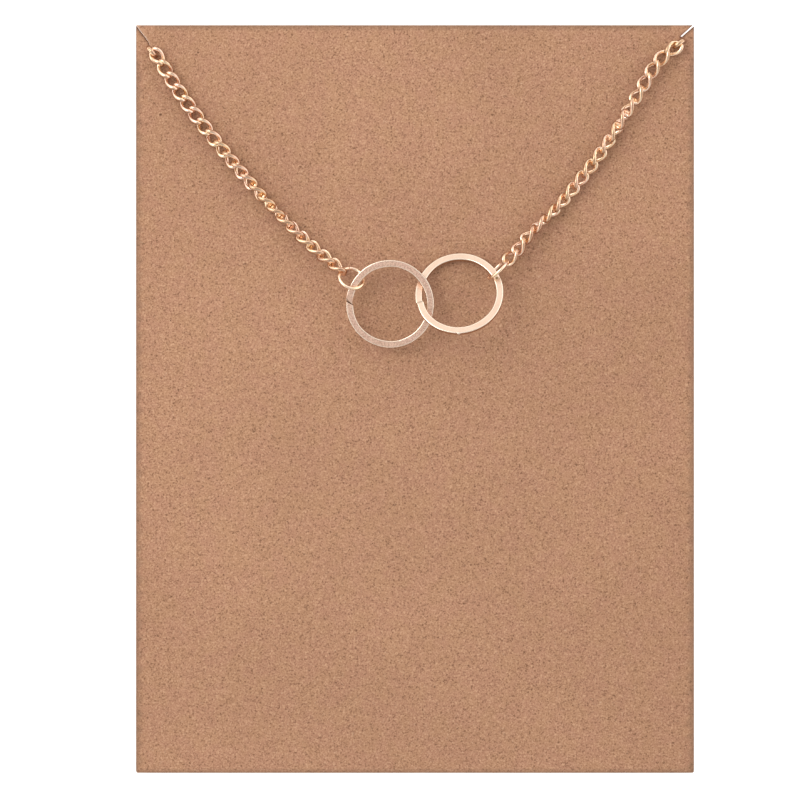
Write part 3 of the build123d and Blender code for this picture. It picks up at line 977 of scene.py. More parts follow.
@dataclass
class FlatCircle:
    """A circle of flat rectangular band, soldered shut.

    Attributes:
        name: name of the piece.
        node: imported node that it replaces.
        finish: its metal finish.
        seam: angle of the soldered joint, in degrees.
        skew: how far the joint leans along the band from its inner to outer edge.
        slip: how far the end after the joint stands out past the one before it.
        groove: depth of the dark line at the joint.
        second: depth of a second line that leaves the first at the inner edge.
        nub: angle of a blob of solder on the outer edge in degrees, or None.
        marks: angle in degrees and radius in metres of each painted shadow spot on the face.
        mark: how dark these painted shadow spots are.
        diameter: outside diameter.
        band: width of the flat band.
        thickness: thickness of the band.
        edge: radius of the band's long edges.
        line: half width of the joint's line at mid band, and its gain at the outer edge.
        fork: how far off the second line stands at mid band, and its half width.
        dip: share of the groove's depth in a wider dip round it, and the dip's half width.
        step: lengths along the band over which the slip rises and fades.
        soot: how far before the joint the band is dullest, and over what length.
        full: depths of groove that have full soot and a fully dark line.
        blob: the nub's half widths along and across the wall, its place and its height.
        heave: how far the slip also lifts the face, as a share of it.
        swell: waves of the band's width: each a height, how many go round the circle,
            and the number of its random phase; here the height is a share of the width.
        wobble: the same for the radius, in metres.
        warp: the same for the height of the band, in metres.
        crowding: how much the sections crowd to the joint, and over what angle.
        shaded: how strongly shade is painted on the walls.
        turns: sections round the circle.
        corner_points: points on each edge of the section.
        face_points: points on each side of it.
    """

    name: str
    node: str
    finish: Finish
    seam: float
    skew: float
    slip: float
    groove: float
    second: float = 0.0
    nub: float | None = None
    marks: tuple = ()
    mark: float = 0.9
    diameter: float = 11.0 * MM
    band: float = 0.84 * MM
    thickness: float = 0.62 * MM
    edge: float = 0.085 * MM
    line: tuple[float, float] = (0.105 * MM, 0.045 * MM)
    fork: tuple[float, float] = (0.16 * MM, 0.08 * MM)
    dip: tuple[float, float] = (0.2, 0.3 * MM)
    step: tuple[float, float] = (0.06 * MM, 0.9 * MM)
    soot: tuple[float, float] = (0.55 * MM, 0.5 * MM)
    full: tuple[float, float] = (0.06 * MM, 0.05 * MM)
    blob: tuple[float, float, float, float] = (0.17 * MM, 0.2 * MM, 0.12 * MM, 0.17 * MM)
    heave: float = 0.5
    swell: tuple = ((0.018, 5, 2), (0.012, 11, 3))
    wobble: tuple = ((0.012 * MM, 3, 0), (0.008 * MM, 7, 1))
    warp: tuple = ((0.010 * MM, 4, 1),)
    crowding: tuple[float, float] = (0.93, 0.5)
    shaded: float = 0.65
    turns: int = 560
    corner_points: int = 5
    face_points: int = 11

    def profile(self) -> tuple[Array, Array, Array, Array, Array]:
        """Section of the band: a rounded rectangle, walked once round.

        Each corner is an arc of the edge radius, each side a straight run.

        Returns:
            Radial and axial places, the outward direction's two parts, and 1 on the
            edges, 0 on the sides.
        """
        half_r, half_a = self.band / 2 - self.edge, self.thickness / 2 - self.edge
        signs = ((1, -1), (1, 1), (-1, 1), (-1, -1), (1, -1))
        share = np.linspace(0, 1, self.face_points + 2)[1:-1]
        parts = []
        for k, ((sr, sa), (nr, na)) in enumerate(zip(signs, signs[1:])):
            last = k * np.pi / 2
            phi = np.linspace(-np.pi / 2, 0, self.corner_points) + last
            r, a = sr * half_r + self.edge * np.cos(phi), sa * half_a + self.edge * np.sin(phi)
            end_r = nr * half_r + self.edge * math.cos(last)
            end_a = na * half_a + self.edge * math.sin(last)
            parts.append((r, a, np.cos(phi), np.sin(phi), np.ones_like(phi)))
            parts.append((r[-1] + share * (end_r - r[-1]), a[-1] + share * (end_a - a[-1]),
                          math.cos(last) + 0 * share, math.sin(last) + 0 * share, 0 * share))
        return tuple(np.concatenate(values) for values in zip(*parts))

    def surface(self, pose: RingPose, rng: np.random.Generator) -> Surface:
        """Surface of the circle.

        At angle q the section is carried round at the middle radius. With d the
        length along the band from the joint, leaning by skew across the band, the
        section sinks by groove * (exp(-(d / line)^2) + share * exp(-(d / dip)^2)), steps
        out by slip * tanh(d / rise) * exp(-(d / reach)^2), and low waves of a few
        hundredths of a millimetre make the band look drawn by hand. The second line
        has its own d, which parts from the first towards the outer edge. A nub is a
        bump of the outer wall, round in both directions. Soot is how dull the heat
        has left the band before the joint.

        Args:
            pose: the ring's pose.
            rng: source of the waves' phases.

        Returns:
            The surface with its values.
        """
        middle = (self.diameter - self.band) / 2
        even = np.linspace(-np.pi, np.pi, self.turns, endpoint=False)
        packed = even - self.crowding[0] * np.sin(even) * bell(even, self.crowding[1])
        q = (packed + math.radians(self.seam))[:, None]
        radial, axial, out_r, out_a, edge = (v[None] for v in self.profile())
        outer = radial / (self.band / 2)
        d = packed[:, None] * middle - self.skew * outer
        line = bell(d, self.line[0] + self.line[1] * outer)
        other = bell(d + self.fork[0] * (1 + outer), self.fork[1])
        soot = bell(d + self.soot[0], self.soot[1]) * min(1.0, self.groove / self.full[0])
        groove = self.groove * (line + self.dip[0] * bell(d, self.dip[1])) + self.second * other
        step = self.slip * np.tanh(d / self.step[0]) * bell(d, self.step[1])
        phase = rng.uniform(0, 2 * np.pi, 4)

        def waved(start: Array | float, waves: tuple) -> Array:
            """Start with these waves added: height * sin(count * q + phase)."""
            return reduce(lambda a, w: a + w[0] * np.sin(w[1] * q + phase[w[2]]), waves, start)

        r = middle + radial * waved(1, self.swell) - out_r * groove + step
        r = waved(r, self.wobble)
        z = waved(axial - out_a * groove + self.heave * step, self.warp)
        if self.nub is not None:
            along, across, place, height = self.blob
            arc = turned(q, math.radians(self.nub)) * self.diameter / 2
            r = r + height * bell(arc, along) * bell(axial - place, across) * np.clip(out_r, 0, 1)
        joint = np.clip((line * self.groove + other * self.second) / self.full[1], 0, 1)
        # Painted shadow spots on the face, kept with the joint's dark line.
        for angle, radius in self.marks:
            away = np.hypot(turned(q, math.radians(angle)) * middle, radial)
            joint = np.maximum(joint, self.mark * bell(away, radius, 4) * (out_a > 0))
        walk = np.concatenate([[0], np.cumsum(np.hypot(np.diff(radial[0]), np.diff(axial[0])))])
        shape = r.shape
        values = spread(shape, along=packed[:, None] * middle, across=walk, joint=joint,
                        # the edges get a painted highlight, less where the band is sooty
                        edge=edge * (1 - soot), tone=soot,
                        # painted shade on the band's walls
                        inner=self.shaded * (1 - edge) * np.abs(out_r))
        points = pose.place(r, np.broadcast_to(q, shape), np.broadcast_to(z, shape))
        return Surface(points.reshape(-1, 3), grid_faces(*shape, True, True).tolist(), values)

    def build(self, frame: dict, palette: Palette, rng: np.random.Generator) -> None:
        """Builds and dresses the circle.

        Args:
            frame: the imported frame.
            palette: the materials.
            rng: source of the waves' phases.
        """
        pose = RingPose.read(frame["nodes"][self.node])
        piece = add_mesh(self.name, self.surface(pose, rng), 50.0)
        dress(piece, palette.metals[self.finish], "circle_metal", self.node)


@dataclass
class WireRing:
    """A jump ring bent from round wire, its two ends nearly meeting.

    Attributes:
        name: name of the piece.
        node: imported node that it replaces.
        diameter: outside diameter.
        wire: diameter of the wire.
        opening: angle of the middle of the gap between the ends, in degrees.
        gap: width of that gap.
        offset: how far the ends miss each other along the ring's axis.
        chamfer: share of the wire's run that each end's chamfer takes, and its radius
            at the end, as a share of the wire's.
        tone: how dull the plating is, 0 to 1.
        turns: sections along the wire.
        around: points round the wire.
    """

    name: str
    node: str
    opening: float
    diameter: float = 3.60 * MM
    wire: float = 0.41 * MM
    gap: float = 0.05 * MM
    offset: float = 0.05 * MM
    chamfer: tuple[float, float] = (0.006, 0.8)
    tone: float = 0.3
    turns: int = 110
    around: int = 20

    def surface(self, pose: RingPose) -> Surface:
        """Surface of the ring.

        The wire's centre runs round the ring from just after the gap to just before
        it, and rises along the axis by offset on the way. Its first and last rows
        draw in to a small chamfer and are closed by a flat face.

        Args:
            pose: the ring's pose.

        Returns:
            The surface with its values.
        """
        middle = (self.diameter - self.wire) / 2
        half_gap = self.gap / 2 / middle
        even = np.linspace(0, 1, self.turns)[1:-1]
        cut = self.chamfer[0]
        share = np.concatenate([[0, cut], even, [1 - cut, 1]])[:, None]
        angle = math.radians(self.opening) + half_gap + share * (2 * np.pi - 2 * half_gap)
        wire = self.wire / 2 * np.where((share == 0) | (share == 1), self.chamfer[1], 1.0)
        s = full_turn(self.around)
        r = middle + wire * np.cos(s)
        z = wire * np.sin(s) + self.offset * (share - 0.5)
        points = pose.place(r, np.broadcast_to(angle, r.shape), z)
        faces = grid_faces(*r.shape, False, True).tolist() + end_faces(*r.shape)
        values = spread(r.shape, along=angle * middle, across=s * self.wire / 2,
                        tone=self.tone)
        return Surface(points.reshape(-1, 3), faces, values)

    def build(self, frame: dict, palette: Palette) -> None:
        """Builds and dresses the ring.

        Args:
            frame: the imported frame.
            palette: the materials.
        """
        pose = RingPose.read(frame["nodes"][self.node])
        piece = add_mesh(self.name, self.surface(pose), 50.0)
        dress(piece, palette.metals[Finish.BRIGHT], "chain_metal", self.node)


@dataclass
class SpringClasp:
    """The spring ring behind the card: tube, sliding tongue, lever and eye.

    Attributes:
        name: name of the piece.
        node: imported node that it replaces.
        tube: diameter of the body's tube.
        tongue: diameter of the tongue that closes the mouth.
        mouth: first and last angle of the mouth, in degrees.
        slot: first and last angle of the lever's slot, in degrees.
        ring: outside diameter of the body.
        eye: outside diameter of the eye.
        eye_wire: diameter of the eye's wire.
        eye_grid: points along and round the eye's wire.
        ease: degrees over which the tube narrows at the mouth, and over which the
            slot ends.
        lip: height of the rolled lips at the mouth, and in degrees how far outside it
            they stand and their half width.
        seam: depth of the rolled tube's seam, and its half width in radians round it.
        trough: depth of the lever's slot, and the same half width.
        foot: distance of the lever's foot from the centreline of the body.
        lever: height and radius of each step of the lever in millimetres, the heights
            then stretched so that the last one fills the room that the lever has.
        solder: the solder between body and eye: how far outside the centreline of the
            body it starts, its length and its greatest radius.
        solder_ends: part of a half turn left out at each end of its rounded shape.
    """

    name: str = "spring_ring_clasp"
    node: str = "clasp"
    tube: float = 0.80 * MM
    tongue: float = 0.58 * MM
    mouth: tuple[float, float] = (22.0, 58.0)
    slot: tuple[float, float] = (66.0, 102.0)
    ring: float = 5.5 * MM
    eye: float = 1.9 * MM
    eye_wire: float = 0.40 * MM
    eye_grid: tuple[int, int] = (72, 20)
    ease: tuple[float, float] = (0.35, 1.2)
    lip: tuple[float, float, float] = (0.015 * MM, 1.3, 0.9)
    seam: tuple[float, float] = (0.015 * MM, 0.12)
    trough: tuple[float, float] = (0.09 * MM, 0.30)
    foot: float = 0.25 * MM
    lever: tuple = ((0.0, 0.20), (0.20, 0.19), (0.34, 0.165), (0.42, 0.16), (0.52, 0.18),
                    (0.60, 0.225), (0.68, 0.245), (0.78, 0.25), (0.86, 0.225), (0.92, 0.15),
                    (0.95, 0.05))
    solder: tuple[float, float, float] = (0.72 * MM, 0.5 * MM, 0.25 * MM)
    solder_ends: float = 0.15

    @staticmethod
    def torus(centre: Array, angle: Array, radius: Array, tube: Array) -> Surface:
        """Closed ring about a vertical axis.

        With q along the ring and s round it, the point is centre + (radius + tube
        cos s)(cos q, sin q, 0) + tube sin s z.

        Args:
            centre: the ring's centre.
            angle: (n, 1) angles q of the rows.
            radius: radius of the centreline, a number or of shape (n, 1).
            tube: radius of the tube, of shape (n, m).

        Returns:
            The surface, with lengths along and across.
        """
        s = full_turn(tube.shape[1])[None]
        reach = radius + tube * np.cos(s)
        points = np.stack([reach * np.cos(angle), reach * np.sin(angle),
                           tube * np.sin(s)], -1) + centre
        values = spread(tube.shape, along=angle * radius, across=tube * s)
        return Surface(points.reshape(-1, 3), grid_faces(*tube.shape, True, True).tolist(), values)

    @staticmethod
    def lathe(start: Array, way: Array, heights: Array, radii: Array, around: int = 28) -> Surface:
        """Turned solid about an axis, closed by a flat face at each end.

        Args:
            start: foot of the axis.
            way: (2,) unit direction of the axis in the XY plane.
            heights: places along the axis.
            radii: radius at each place.
            around: points round the axis.

        Returns:
            The surface, with lengths along and across.
        """
        s = full_turn(around)[None]
        h, r = heights[:, None] + 0 * s, radii[:, None] + 0 * s
        side = np.array([-way[1], way[0], 0.0])
        points = (start + h[..., None] * np.array([*way, 0.0])
                  + (r * np.cos(s))[..., None] * side
                  + (r * np.sin(s))[..., None] * UP)
        faces = grid_faces(*h.shape, False, True)[:, ::-1].tolist() + end_faces(*h.shape)
        return Surface(points.reshape(-1, 3), faces, spread(h.shape, along=h, across=r * s))

    def body(self, centre: Array, radius: float) -> Surface:
        """Tube of the clasp.

        The tube's radius is that of the tongue inside the mouth and the full one
        outside it, with a rolled lip at each side of the mouth. The slot is a trough
        along its outer side and the seam of the rolled tube a fine groove along its
        inner side.

        Args:
            centre: centre of the body.
            radius: radius of its centreline.

        Returns:
            The surface.
        """
        fine = np.linspace(-1.5, 1.5, 11)
        angle = np.concatenate([np.arange(0, 360, 2.0)] + [e + fine for e in self.mouth])
        q = np.unique(np.round(angle, 3))[:, None]
        s = full_turn(40)[None]
        (first, last), (low, high) = self.mouth, self.slot
        inside, along = (0.5 * (np.tanh((q - a) / ease) - np.tanh((q - b) / ease))
                         for a, b, ease in ((first, last, self.ease[0]),
                                            (low, high, self.ease[1])))
        lip, off, wide = self.lip
        lips = bell(q - first + off, wide) + bell(q - last - off, wide)
        tube = self.tube / 2 + (self.tongue - self.tube) / 2 * inside + lip * lips
        tube = tube - self.trough[0] * along * bell(turned(s, 0), self.trough[1], 4)
        tube = tube - self.seam[0] * (1 - inside) * bell(turned(s, np.pi), self.seam[1])
        return self.torus(centre, np.radians(q), radius, tube)

    def build(self, palette: Palette) -> None:
        """Builds and dresses the clasp.

        Args:
            palette: the materials.
        """
        low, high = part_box(self.node)
        radius = (self.ring - self.tube) / 2
        centre = np.array([high.x - self.ring / 2, low.y + self.ring / 2, (low.z + high.z) / 2])
        eye_radius = (self.eye - self.eye_wire) / 2
        eye_centre = np.array([low.x + self.eye / 2, centre[1], centre[2]])
        eye = self.torus(eye_centre, full_turn(self.eye_grid[0])[:, None], eye_radius,
                         np.full(self.eye_grid, self.eye_wire / 2))
        out, length, thick = self.solder
        half_turn = np.linspace(self.solder_ends, np.pi - self.solder_ends, 11)
        solder = self.lathe(centre - [radius + out, 0, 0], np.array([1.0, 0.0]),
                            np.linspace(0, length, 11), thick * np.sin(half_turn))
        foot = centre + np.array([0.0, radius + self.foot, 0.0])
        heights, waists = np.array(self.lever).T
        lever = self.lathe(foot, np.array([0.0, 1.0]),
                           heights / heights[-1] * (high.y - foot[1]), waists * MM)
        surface = reduce(Surface.joined, (self.body(centre, radius), eye, solder, lever))
        piece = add_mesh(self.name, surface, 42.0)
        dress(piece, palette.metals[Finish.BRIGHT], "chain_metal", self.node)


@dataclass(frozen=True)
class Slit:
    """A cut from a top corner of the card to the place where a chain passes it.

    Attributes:
        side: -1 for the left corner, 1 for the right one.
        gap: gap between its lips.
        bend: offset of the cut towards the upper side at bend_at.
        bend_at: share of the way from the corner to the chain where it bends most.
        raised: how far the upper lip stands up.
        pale: how strongly the pale core, with a painted highlight, shows on the upper lip.
        shade: how dark the painted shade is on the lower and on the upper side.
    """

    side: int
    gap: float
    bend: float
    bend_at: float
    raised: float
    pale: float
    shade: tuple[float, float]

    def axes(self, tip: Array, centre: Array) -> tuple[Array, Array, float]:
        """Directions and length of the cut.

        Args:
            tip: the card's corner.
            centre: where the chain passes.

        Returns:
            Unit direction from the chain to the corner, unit direction to the cut's
            upper side, and the distance from the chain to the corner.
        """
        reach = float(np.linalg.norm(tip - centre))
        ahead = (tip - centre) / reach
        return ahead, self.side * np.array([-ahead[1], ahead[0]]), reach

    def offset(self, share: Array) -> Array:
        """Offset of the cut at shares of the way from the corner to the chain."""
        return np.interp(share, (0, self.bend_at, 1), (0, self.bend, 0))

    def measure(self, points: Array, tip: Array, centre: Array) -> tuple[Array, Array]:
        """Place of points along the cut and away from it.

        Args:
            points: (n, 2) points.
            tip: the card's corner.
            centre: where the chain passes.

        Returns:
            Share of the way from the chain to the corner, and the distance from the
            cut, positive on its upper side.
        """
        ahead, up, reach = self.axes(tip, centre)
        share = (points - centre) @ ahead / reach
        return share, (points - centre) @ up - self.offset(1 - share)


@dataclass
class DisplayCard:
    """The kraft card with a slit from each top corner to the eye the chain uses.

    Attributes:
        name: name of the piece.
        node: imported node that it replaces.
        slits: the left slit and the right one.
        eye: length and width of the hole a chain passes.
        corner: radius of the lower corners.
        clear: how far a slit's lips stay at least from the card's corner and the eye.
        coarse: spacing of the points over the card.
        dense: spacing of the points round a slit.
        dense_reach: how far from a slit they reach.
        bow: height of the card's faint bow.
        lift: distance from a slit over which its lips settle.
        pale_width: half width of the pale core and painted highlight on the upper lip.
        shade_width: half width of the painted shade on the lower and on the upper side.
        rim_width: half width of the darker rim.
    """

    name: str = "kraft_card"
    node: str = "card"
    slits: tuple[Slit, Slit] = (
        Slit(-1, 0.014 * MM, 0.29 * MM, 0.66, 0.14 * MM, 0.50, (0.95, 0.0)),
        Slit(1, 0.17 * MM, 0.38 * MM, 0.78, 0.05 * MM, 0.10, (0.95, 0.80)))
    eye: tuple[float, float] = (2.04 * MM, 0.58 * MM)
    corner: float = 0.25 * MM
    clear: tuple[float, float] = (0.03 * MM, 0.1 * MM)
    coarse: float = 1.1 * MM
    dense: float = 0.12 * MM
    dense_reach: float = 1.9 * MM
    bow: float = 0.02 * MM
    lift: float = 0.8 * MM
    pale_width: float = 0.16 * MM
    shade_width: tuple[float, float] = (0.22 * MM, 0.11 * MM)
    rim_width: float = 0.10 * MM

    def eye_walk(self, slit: Slit, eye: tuple[Array, float], tip: Array,
                 points: int = 40) -> Array:
        """Points down one lip of a slit, round its eye and back up the other lip.

        The eye is a stadium: two half circles joined by straight sides. Those of its
        points that lie in the way of the slit are left out. The walk starts and ends
        near the card's corner, half the slit's gap each side of its line.

        Args:
            slit: the slit.
            eye: centre and direction of the eye.
            tip: the card's corner.
            points: points on each half circle.

        Returns:
            (n, 2) points, anticlockwise as the card's outline goes.
        """
        centre, turn = eye
        length, width = self.eye
        phi = np.linspace(-np.pi / 2, np.pi / 2, points)
        half = width / 2 * np.stack([np.cos(phi), np.sin(phi)], 1) + ((length - width) / 2, 0)
        loop = np.concatenate([half, -half])
        spin = np.array([[math.cos(turn), math.sin(turn)], [-math.sin(turn), math.cos(turn)]])
        loop = loop @ spin
        ahead, up, reach = slit.axes(tip, centre)
        share, q = slit.measure(loop + centre, tip, centre)
        order = np.argsort(np.arctan2(-(loop @ up) * slit.side, -(loop @ ahead)))
        loop, share, q = loop[order], share[order], q[order]
        near = share[np.argmin(np.where(share > 0, np.abs(np.abs(q) - slit.gap / 2), 1.0))]
        loop = loop[~((share > 0) & (np.abs(q) <= slit.gap / 2))]
        lean = max(abs(ahead[0] / ahead[1]), abs(ahead[1] / ahead[0]))
        first = 1 - (slit.gap / 2 * lean + self.clear[0]) / reach
        steps = np.linspace(first, near + self.clear[1] / reach, 24)
        line = centre + steps[:, None] * reach * ahead + slit.offset(1 - steps)[:, None] * up
        left = slit.side * up * slit.gap / 2
        return np.concatenate([line - left, (centre + loop)[::-1], (line + left)[::-1]])

    def edge(self, a: Array, b: Array, from_a: float, to_b: float) -> Array:
        """Points of a straight edge from a to b.

        Args:
            a: its start.
            b: its end.
            from_a: distance of the first point from the start, or 0 for none there.
            to_b: the same at the end.

        Returns:
            (n, 2) points, the ends themselves left out.
        """
        length = np.linalg.norm(b - a)
        run = np.linspace(0, length, int(length / self.coarse))[1:-1]
        run = np.concatenate([[from_a] * (from_a > 0), run, [length - to_b] * (to_b > 0)])
        return a + run[:, None] * (b - a) / length

    def outline(self, eyes: list[tuple[Array, float]], low: Vector, high: Vector) -> Array:
        """Closed outline of the card, anticlockwise, with both slits and eyes.

        Args:
            eyes: centre and direction of the left and right eye.
            low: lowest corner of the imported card.
            high: its highest corner.

        Returns:
            (n, 2) points.
        """
        phi = np.linspace(0, np.pi / 2, 5)
        quarter = self.corner * np.stack([np.cos(phi), np.sin(phi)], 1)
        inset = np.array([self.corner, self.corner])
        low_left = np.array([low.x, low.y]) + inset - quarter
        low_right = np.array([high.x, low.y]) + inset * (-1, 1) + quarter[::-1] * (1, -1)
        right_tip = np.array([high.x, high.y])
        left_tip = np.array([low.x, high.y])
        # The edges end a little further from the corner than the lips start.
        near_left, near_right = (1.15 * slit.gap + self.clear[0] for slit in self.slits)
        return np.concatenate([
            low_left, self.edge(low_left[-1], low_right[0], 0, 0),
            low_right, self.edge(low_right[-1], right_tip, 0, near_right),
            self.eye_walk(self.slits[1], eyes[1], right_tip),
            self.edge(right_tip, left_tip, near_right, near_left),
            self.eye_walk(self.slits[0], eyes[0], left_tip),
            self.edge(left_tip, low_left[0], near_left, 0)])

    @staticmethod
    def net(low: tuple[float, float], high: tuple[float, float], step: float) -> Array:
        """Points of a triangular net over a rectangle.

        Args:
            low: its lowest corner.
            high: its highest corner.
            step: spacing of the points.

        Returns:
            (n, 2) points, the rows 0.866 steps apart and every second one moved by
            half a step.
        """
        x, y = np.meshgrid(np.arange(low[0], high[0], step),
                           np.arange(low[1], high[1], step * 0.866))
        x = x + step / 2 * (np.arange(len(x)) % 2)[:, None]
        return np.stack([x.ravel(), y.ravel()], 1)

    @staticmethod
    def line_distance(points: Array, a: Array, b: Array) -> Array:
        """Least distance of each point from straight runs.

        Args:
            points: (n, 2) points.
            a: (m, 2) starts of the runs.
            b: (m, 2) ends of the runs.

        Returns:
            (n,) distances to the nearest run.
        """
        run = (b - a)[None]
        away = points[:, None] - a[None]
        share = np.clip((away * run).sum(-1) / np.maximum((run * run).sum(-1), 1e-18), 0, 1)
        return np.linalg.norm(away - share[..., None] * run, axis=2).min(1)

    def fill_points(self, eyes: list[tuple[Array, float]], outline: Array,
                    low: Vector, high: Vector) -> Array:
        """Points inside the outline: an even net, and a dense one round the slits.

        Args:
            eyes: centre and direction of the left and right eye.
            outline: the card's outline.
            low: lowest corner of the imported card.
            high: its highest corner.

        Returns:
            (n, 2) points, none close to the outline.
        """
        margin, room_outside = 0.1 * MM, 0.6 * MM
        even = self.net((low.x + room_outside, low.y + room_outside),
                        (high.x - room_outside, high.y - room_outside), self.coarse)
        dense = []
        for (centre, _), x in zip(eyes, (low.x, high.x)):
            tip = np.array([x, high.y])
            least, most = np.minimum(centre, tip), np.maximum(centre, tip)
            patch = self.net(tuple(least - self.dense_reach), tuple(most + self.dense_reach),
                             self.dense)
            from_patch, from_even = (self.line_distance(p, centre[None], tip[None])
                                     for p in (patch, even))
            dense.append(patch[from_patch < self.dense_reach])
            even = even[from_even >= self.dense_reach]
        points = np.concatenate([even] + dense)
        room = np.minimum(points - (low.x, low.y), (high.x, high.y) - points).min(1)
        points = points[room > margin]
        slits_from = high.y - 8 * MM
        after = np.roll(outline, -1, 0)
        slit_part, close = outline[:, 1] > slits_from, points[:, 1] > slits_from
        gap = np.full(len(points), margin)
        gap[close] = self.line_distance(points[close], outline[slit_part], after[slit_part])
        return points[gap > margin / 2]

    def relief(self, plane: Array, eyes: list[tuple[Array, float]],
               high: Vector) -> tuple[Array, dict[str, Array]]:
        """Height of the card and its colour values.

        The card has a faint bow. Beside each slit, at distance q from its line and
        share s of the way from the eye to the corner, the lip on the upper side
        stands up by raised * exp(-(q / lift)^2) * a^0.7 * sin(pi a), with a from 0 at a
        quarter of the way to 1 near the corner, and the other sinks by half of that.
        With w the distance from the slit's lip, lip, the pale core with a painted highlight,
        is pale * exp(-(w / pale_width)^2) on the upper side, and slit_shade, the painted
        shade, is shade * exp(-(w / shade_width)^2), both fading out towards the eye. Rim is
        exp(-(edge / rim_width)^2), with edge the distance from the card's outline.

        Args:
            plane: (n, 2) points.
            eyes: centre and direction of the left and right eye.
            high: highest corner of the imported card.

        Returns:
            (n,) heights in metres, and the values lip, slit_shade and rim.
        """
        x, y = plane.T
        height = self.bow * np.cos(np.pi * x / (2 * high.x)) * np.cos(np.pi * y / (2 * high.y))
        lip, slit_shade = np.zeros(len(plane)), np.zeros(len(plane))
        for slit, (centre, _) in zip(self.slits, eyes):
            tip = np.array([slit.side * high.x, high.y])
            share, q = slit.measure(plane, tip, centre)
            upper = q > 0
            along = np.clip((share - 0.25) / 0.75, 0, 0.93)
            rise = np.where(upper, 1.0, -0.5) * bell(q, self.lift)
            height = height + slit.raised * rise * along ** 0.7 * np.sin(np.pi * along)
            away = np.maximum(np.abs(q) - slit.gap / 2, 0)
            fade = np.clip((share - 0.12) / 0.15, 0, 1)
            # Pale core with a painted highlight on the upper lip.
            lip = np.maximum(lip, slit.pale * fade * upper * bell(away, self.pale_width))
            # Painted shade along the cut, below it and above it.
            below, above = (s * bell(away, w) for s, w in zip(slit.shade, self.shade_width))
            slit_shade = np.maximum(slit_shade, fade * np.where(upper, above, below))
        edge = np.minimum(high.x - np.abs(x), high.y - np.abs(y))
        return height, {"lip": lip, "slit_shade": slit_shade, "rim": bell(edge, self.rim_width)}

    def build(self, palette: Palette, eyes: list[tuple[Array, float]]) -> None:
        """Builds and dresses the card.

        The outline and the inner points are joined to triangles. An edge that only
        one triangle has is on the border; two edges are the same when their lower
        and higher ends are.

        Args:
            palette: the materials.
            eyes: centre and direction of the left and right eye.
        """
        low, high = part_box(self.node)
        outline = self.outline(eyes, low, high)
        count = len(outline)
        plane = np.concatenate([outline, self.fill_points(eyes, outline, low, high)])
        ring = np.arange(count)
        edges = np.stack([ring, (ring + 1) % count], 1).tolist()
        made = delaunay_2d_cdt([Vector(p) for p in plane / MM], edges, [], 1, 1e-6)
        plane = np.array([tuple(v) for v in made[0]]) * MM
        triangles = np.array(made[2])
        a, b, c = (plane[triangles[:, k]] for k in range(3))
        flip = np.cross(b - a, c - a) < 0
        triangles[flip] = triangles[flip][:, ::-1]
        directed = np.concatenate([triangles[:, pair] for pair in ([0, 1], [1, 2], [2, 0])])
        keys, uses = np.unique(np.sort(directed, 1), axis=0, return_inverse=True,
                               return_counts=True)[1:]
        border = directed[uses[keys.reshape(-1)] == 1]
        height, values = self.relief(plane, eyes, high)
        top = np.column_stack([plane, high.z + height])
        under = np.column_stack([plane, low.z + height])
        n = len(plane)
        walls = np.column_stack([border[:, 1], border[:, 0], border[:, 0] + n, border[:, 1] + n])
        faces = triangles.tolist() + (triangles[:, ::-1] + n).tolist() + walls.tolist()
        values = {key: np.tile(value, 2) for key, value in values.items()}
        piece = add_mesh(self.name, Surface(np.concatenate([top, under]), faces, values), 40.0)
        dress(piece, palette.board, "card_stock", self.node)


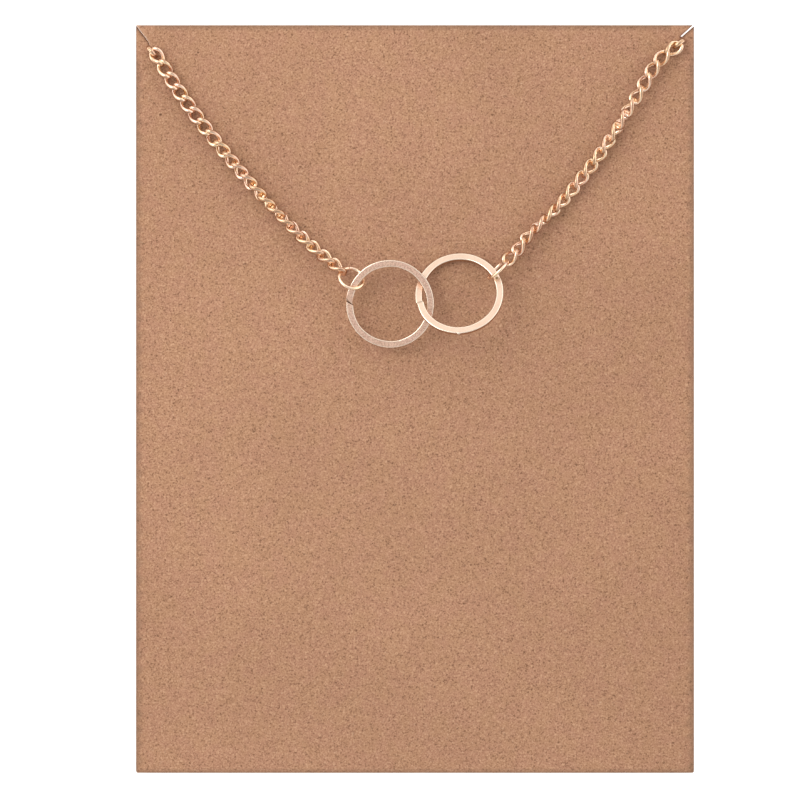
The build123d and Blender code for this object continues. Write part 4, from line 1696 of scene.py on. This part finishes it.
@dataclass
class Studio:
    """Pale floor, soft light and the camera straight above the card.

    Attributes:
        frame_width: width of the picture at the card's face.
        centre: middle of the picture on the card, from the card's own middle.
        lens: focal length in millimetres.
        sensor: width of the sensor in millimetres.
        reach: half the side of the square floor, in metres.
        grey: darkest and lightest grey of the floor.
        glow: how much light the floor itself gives off.
        sky: for each band of the room, the direction it is read along, the two places
            between which its light changes, and its light at each.
        lamp: azimuth and elevation in degrees, distance and side in metres, watts.
        warm: colours of the lamp's light and of the room's.
    """

    frame_width: float = 100.36 * MM
    centre: tuple[float, float] = (-1.88 * MM, -0.125 * MM)
    lens: float = 300.0
    sensor: float = 36.0
    reach: float = 4.0
    grey: tuple[float, float] = (0.86, 0.88)
    glow: float = 0.60
    sky: tuple = (("Y", -0.80, 0.80, 0.57, 0.96), ("Z", 0.974, 0.9985, 1.0, 0.61),
                  ("Z", 0.0, 0.28, 0.12, 1.0), ("X", 0.40, 0.80, 1.0, 1.45),
                  ("Z", 0.55, 0.88, 1.52, 1.0))
    lamp: tuple = (146.0, 50.0, 0.27, 0.15, 0.26)
    warm: tuple[Colour, Colour] = ((1.0, 0.985, 0.96), (1.0, 0.985, 0.965))

    def floor(self) -> None:
        """Lays the floor under the card."""
        corners = self.reach * np.array([(-1, -1, 0), (1, -1, 0), (1, 1, 0), (-1, 1, 0)])
        floor = add_mesh("floor", Surface(corners, [[0, 1, 2, 3]]))
        material, t, shader = new_material("pale_floor")
        cloud = t.noise(t.add("ShaderNodeTexCoord").outputs["Object"], 0.4, 1.0)
        dark, light = ((grey,) * 3 for grey in self.grey)
        t.feed(shader, {"Base Color": t.mix(cloud, dark, light), "Roughness": 0.9,
                        "Specular IOR Level": 0.1, "Emission Color": (1.0, 1.0, 1.0),
                        "Emission Strength": self.glow})
        floor.data.materials.append(material)

    def light(self) -> None:
        """Hangs a square soft lamp over the card's left side, turned to the card."""
        azimuth, elevation, distance, side, power = self.lamp
        data = bpy.data.lights.new("lamp", "AREA")
        data.energy, data.size, data.color = power, side, self.warm[0]
        light = bpy.data.objects.new("lamp", data)
        a, e = math.radians(azimuth), math.radians(elevation)
        place = Vector((math.cos(a) * math.cos(e), math.sin(a) * math.cos(e), math.sin(e)))
        light.location = place * distance
        light.rotation_mode = "QUATERNION"
        light.rotation_quaternion = (-place).to_track_quat("-Z", "Y")
        bpy.context.scene.collection.objects.link(light)

    def world(self) -> None:
        """Surrounds the scene with a soft room.

        Its light is the product of the bands in sky: brighter towards the card's top
        edge and its sides, a bright belt halfway up, and duller overhead and low down.
        """
        world = bpy.data.worlds.new("room")
        bpy.context.scene.world = world
        world.use_nodes = True
        t = Tree(world.node_tree)
        background = next(n for n in world.node_tree.nodes if n.type == "BACKGROUND")
        way = t.add("ShaderNodeTexCoord").outputs["Generated"]
        part = t.add("ShaderNodeSeparateXYZ", {"Vector": way}).outputs
        reads = {"X": t.math("ABSOLUTE", part["X"]), "Y": part["Y"], "Z": part["Z"]}
        bands = [t.ramp(reads[axis], *numbers) for axis, *numbers in self.sky]
        t.feed(background, {"Strength": t.times(*bands), "Color": self.warm[1]})

    def camera(self) -> None:
        """Hangs the camera over the card, square to it."""
        data = bpy.data.cameras.new("camera")
        data.lens, data.sensor_width = self.lens, self.sensor
        camera = bpy.data.objects.new("camera", data)
        distance = self.frame_width * self.lens / self.sensor
        camera.location = (*self.centre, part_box("card")[1].z + distance)
        data.clip_start, data.clip_end = distance * 0.1, distance * 10
        bpy.context.scene.collection.objects.link(camera)
        bpy.context.scene.camera = camera

    def build(self) -> None:
        """Builds the studio."""
        self.floor()
        self.world()
        self.light()
        self.camera()
        bpy.context.scene.view_settings.view_transform = "Standard"


def main() -> None:
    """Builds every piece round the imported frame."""
    logging.basicConfig(level=logging.INFO, format="%(name)s: %(message)s")
    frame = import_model()
    rng = np.random.default_rng(SEED)
    palette = Palette()
    palette.build()
    strands = (CurbStrand("left_curb_chain", "chain_left"),
               CurbStrand("right_curb_chain", "chain_right"))
    DisplayCard().build(palette, [strand.eye(frame) for strand in strands])
    FlatCircle("left_flat_circle", "left_circle", Finish.BRUSHED, seam=178.8, skew=-0.25 * MM,
               slip=-0.05 * MM, groove=0.06 * MM, second=0.035 * MM).build(frame, palette, rng)
    FlatCircle("right_flat_circle", "right_circle", Finish.SATIN, seam=192.5, skew=0.04 * MM,
               slip=-0.065 * MM, groove=0.006 * MM, nub=-91.0,
               # this mark is a painted shadow spot on the face
               marks=((22.0, 0.19 * MM),)).build(frame, palette, rng)
    WireRing("left_wire_ring", "left_jump_ring", opening=100.0).build(frame, palette)
    WireRing("right_wire_ring", "right_jump_ring", opening=200.0).build(frame, palette)
    WireRing("end_wire_ring", "end_ring", opening=70.0, diameter=3.02 * MM, wire=0.36 * MM,
             offset=0.01 * MM).build(frame, palette)
    SpringClasp().build(palette)
    for strand in strands:
        strand.build(frame, palette, rng)
    Studio().build()
    LOG.info("sizes written")


if __name__ == "__main__":
    main()
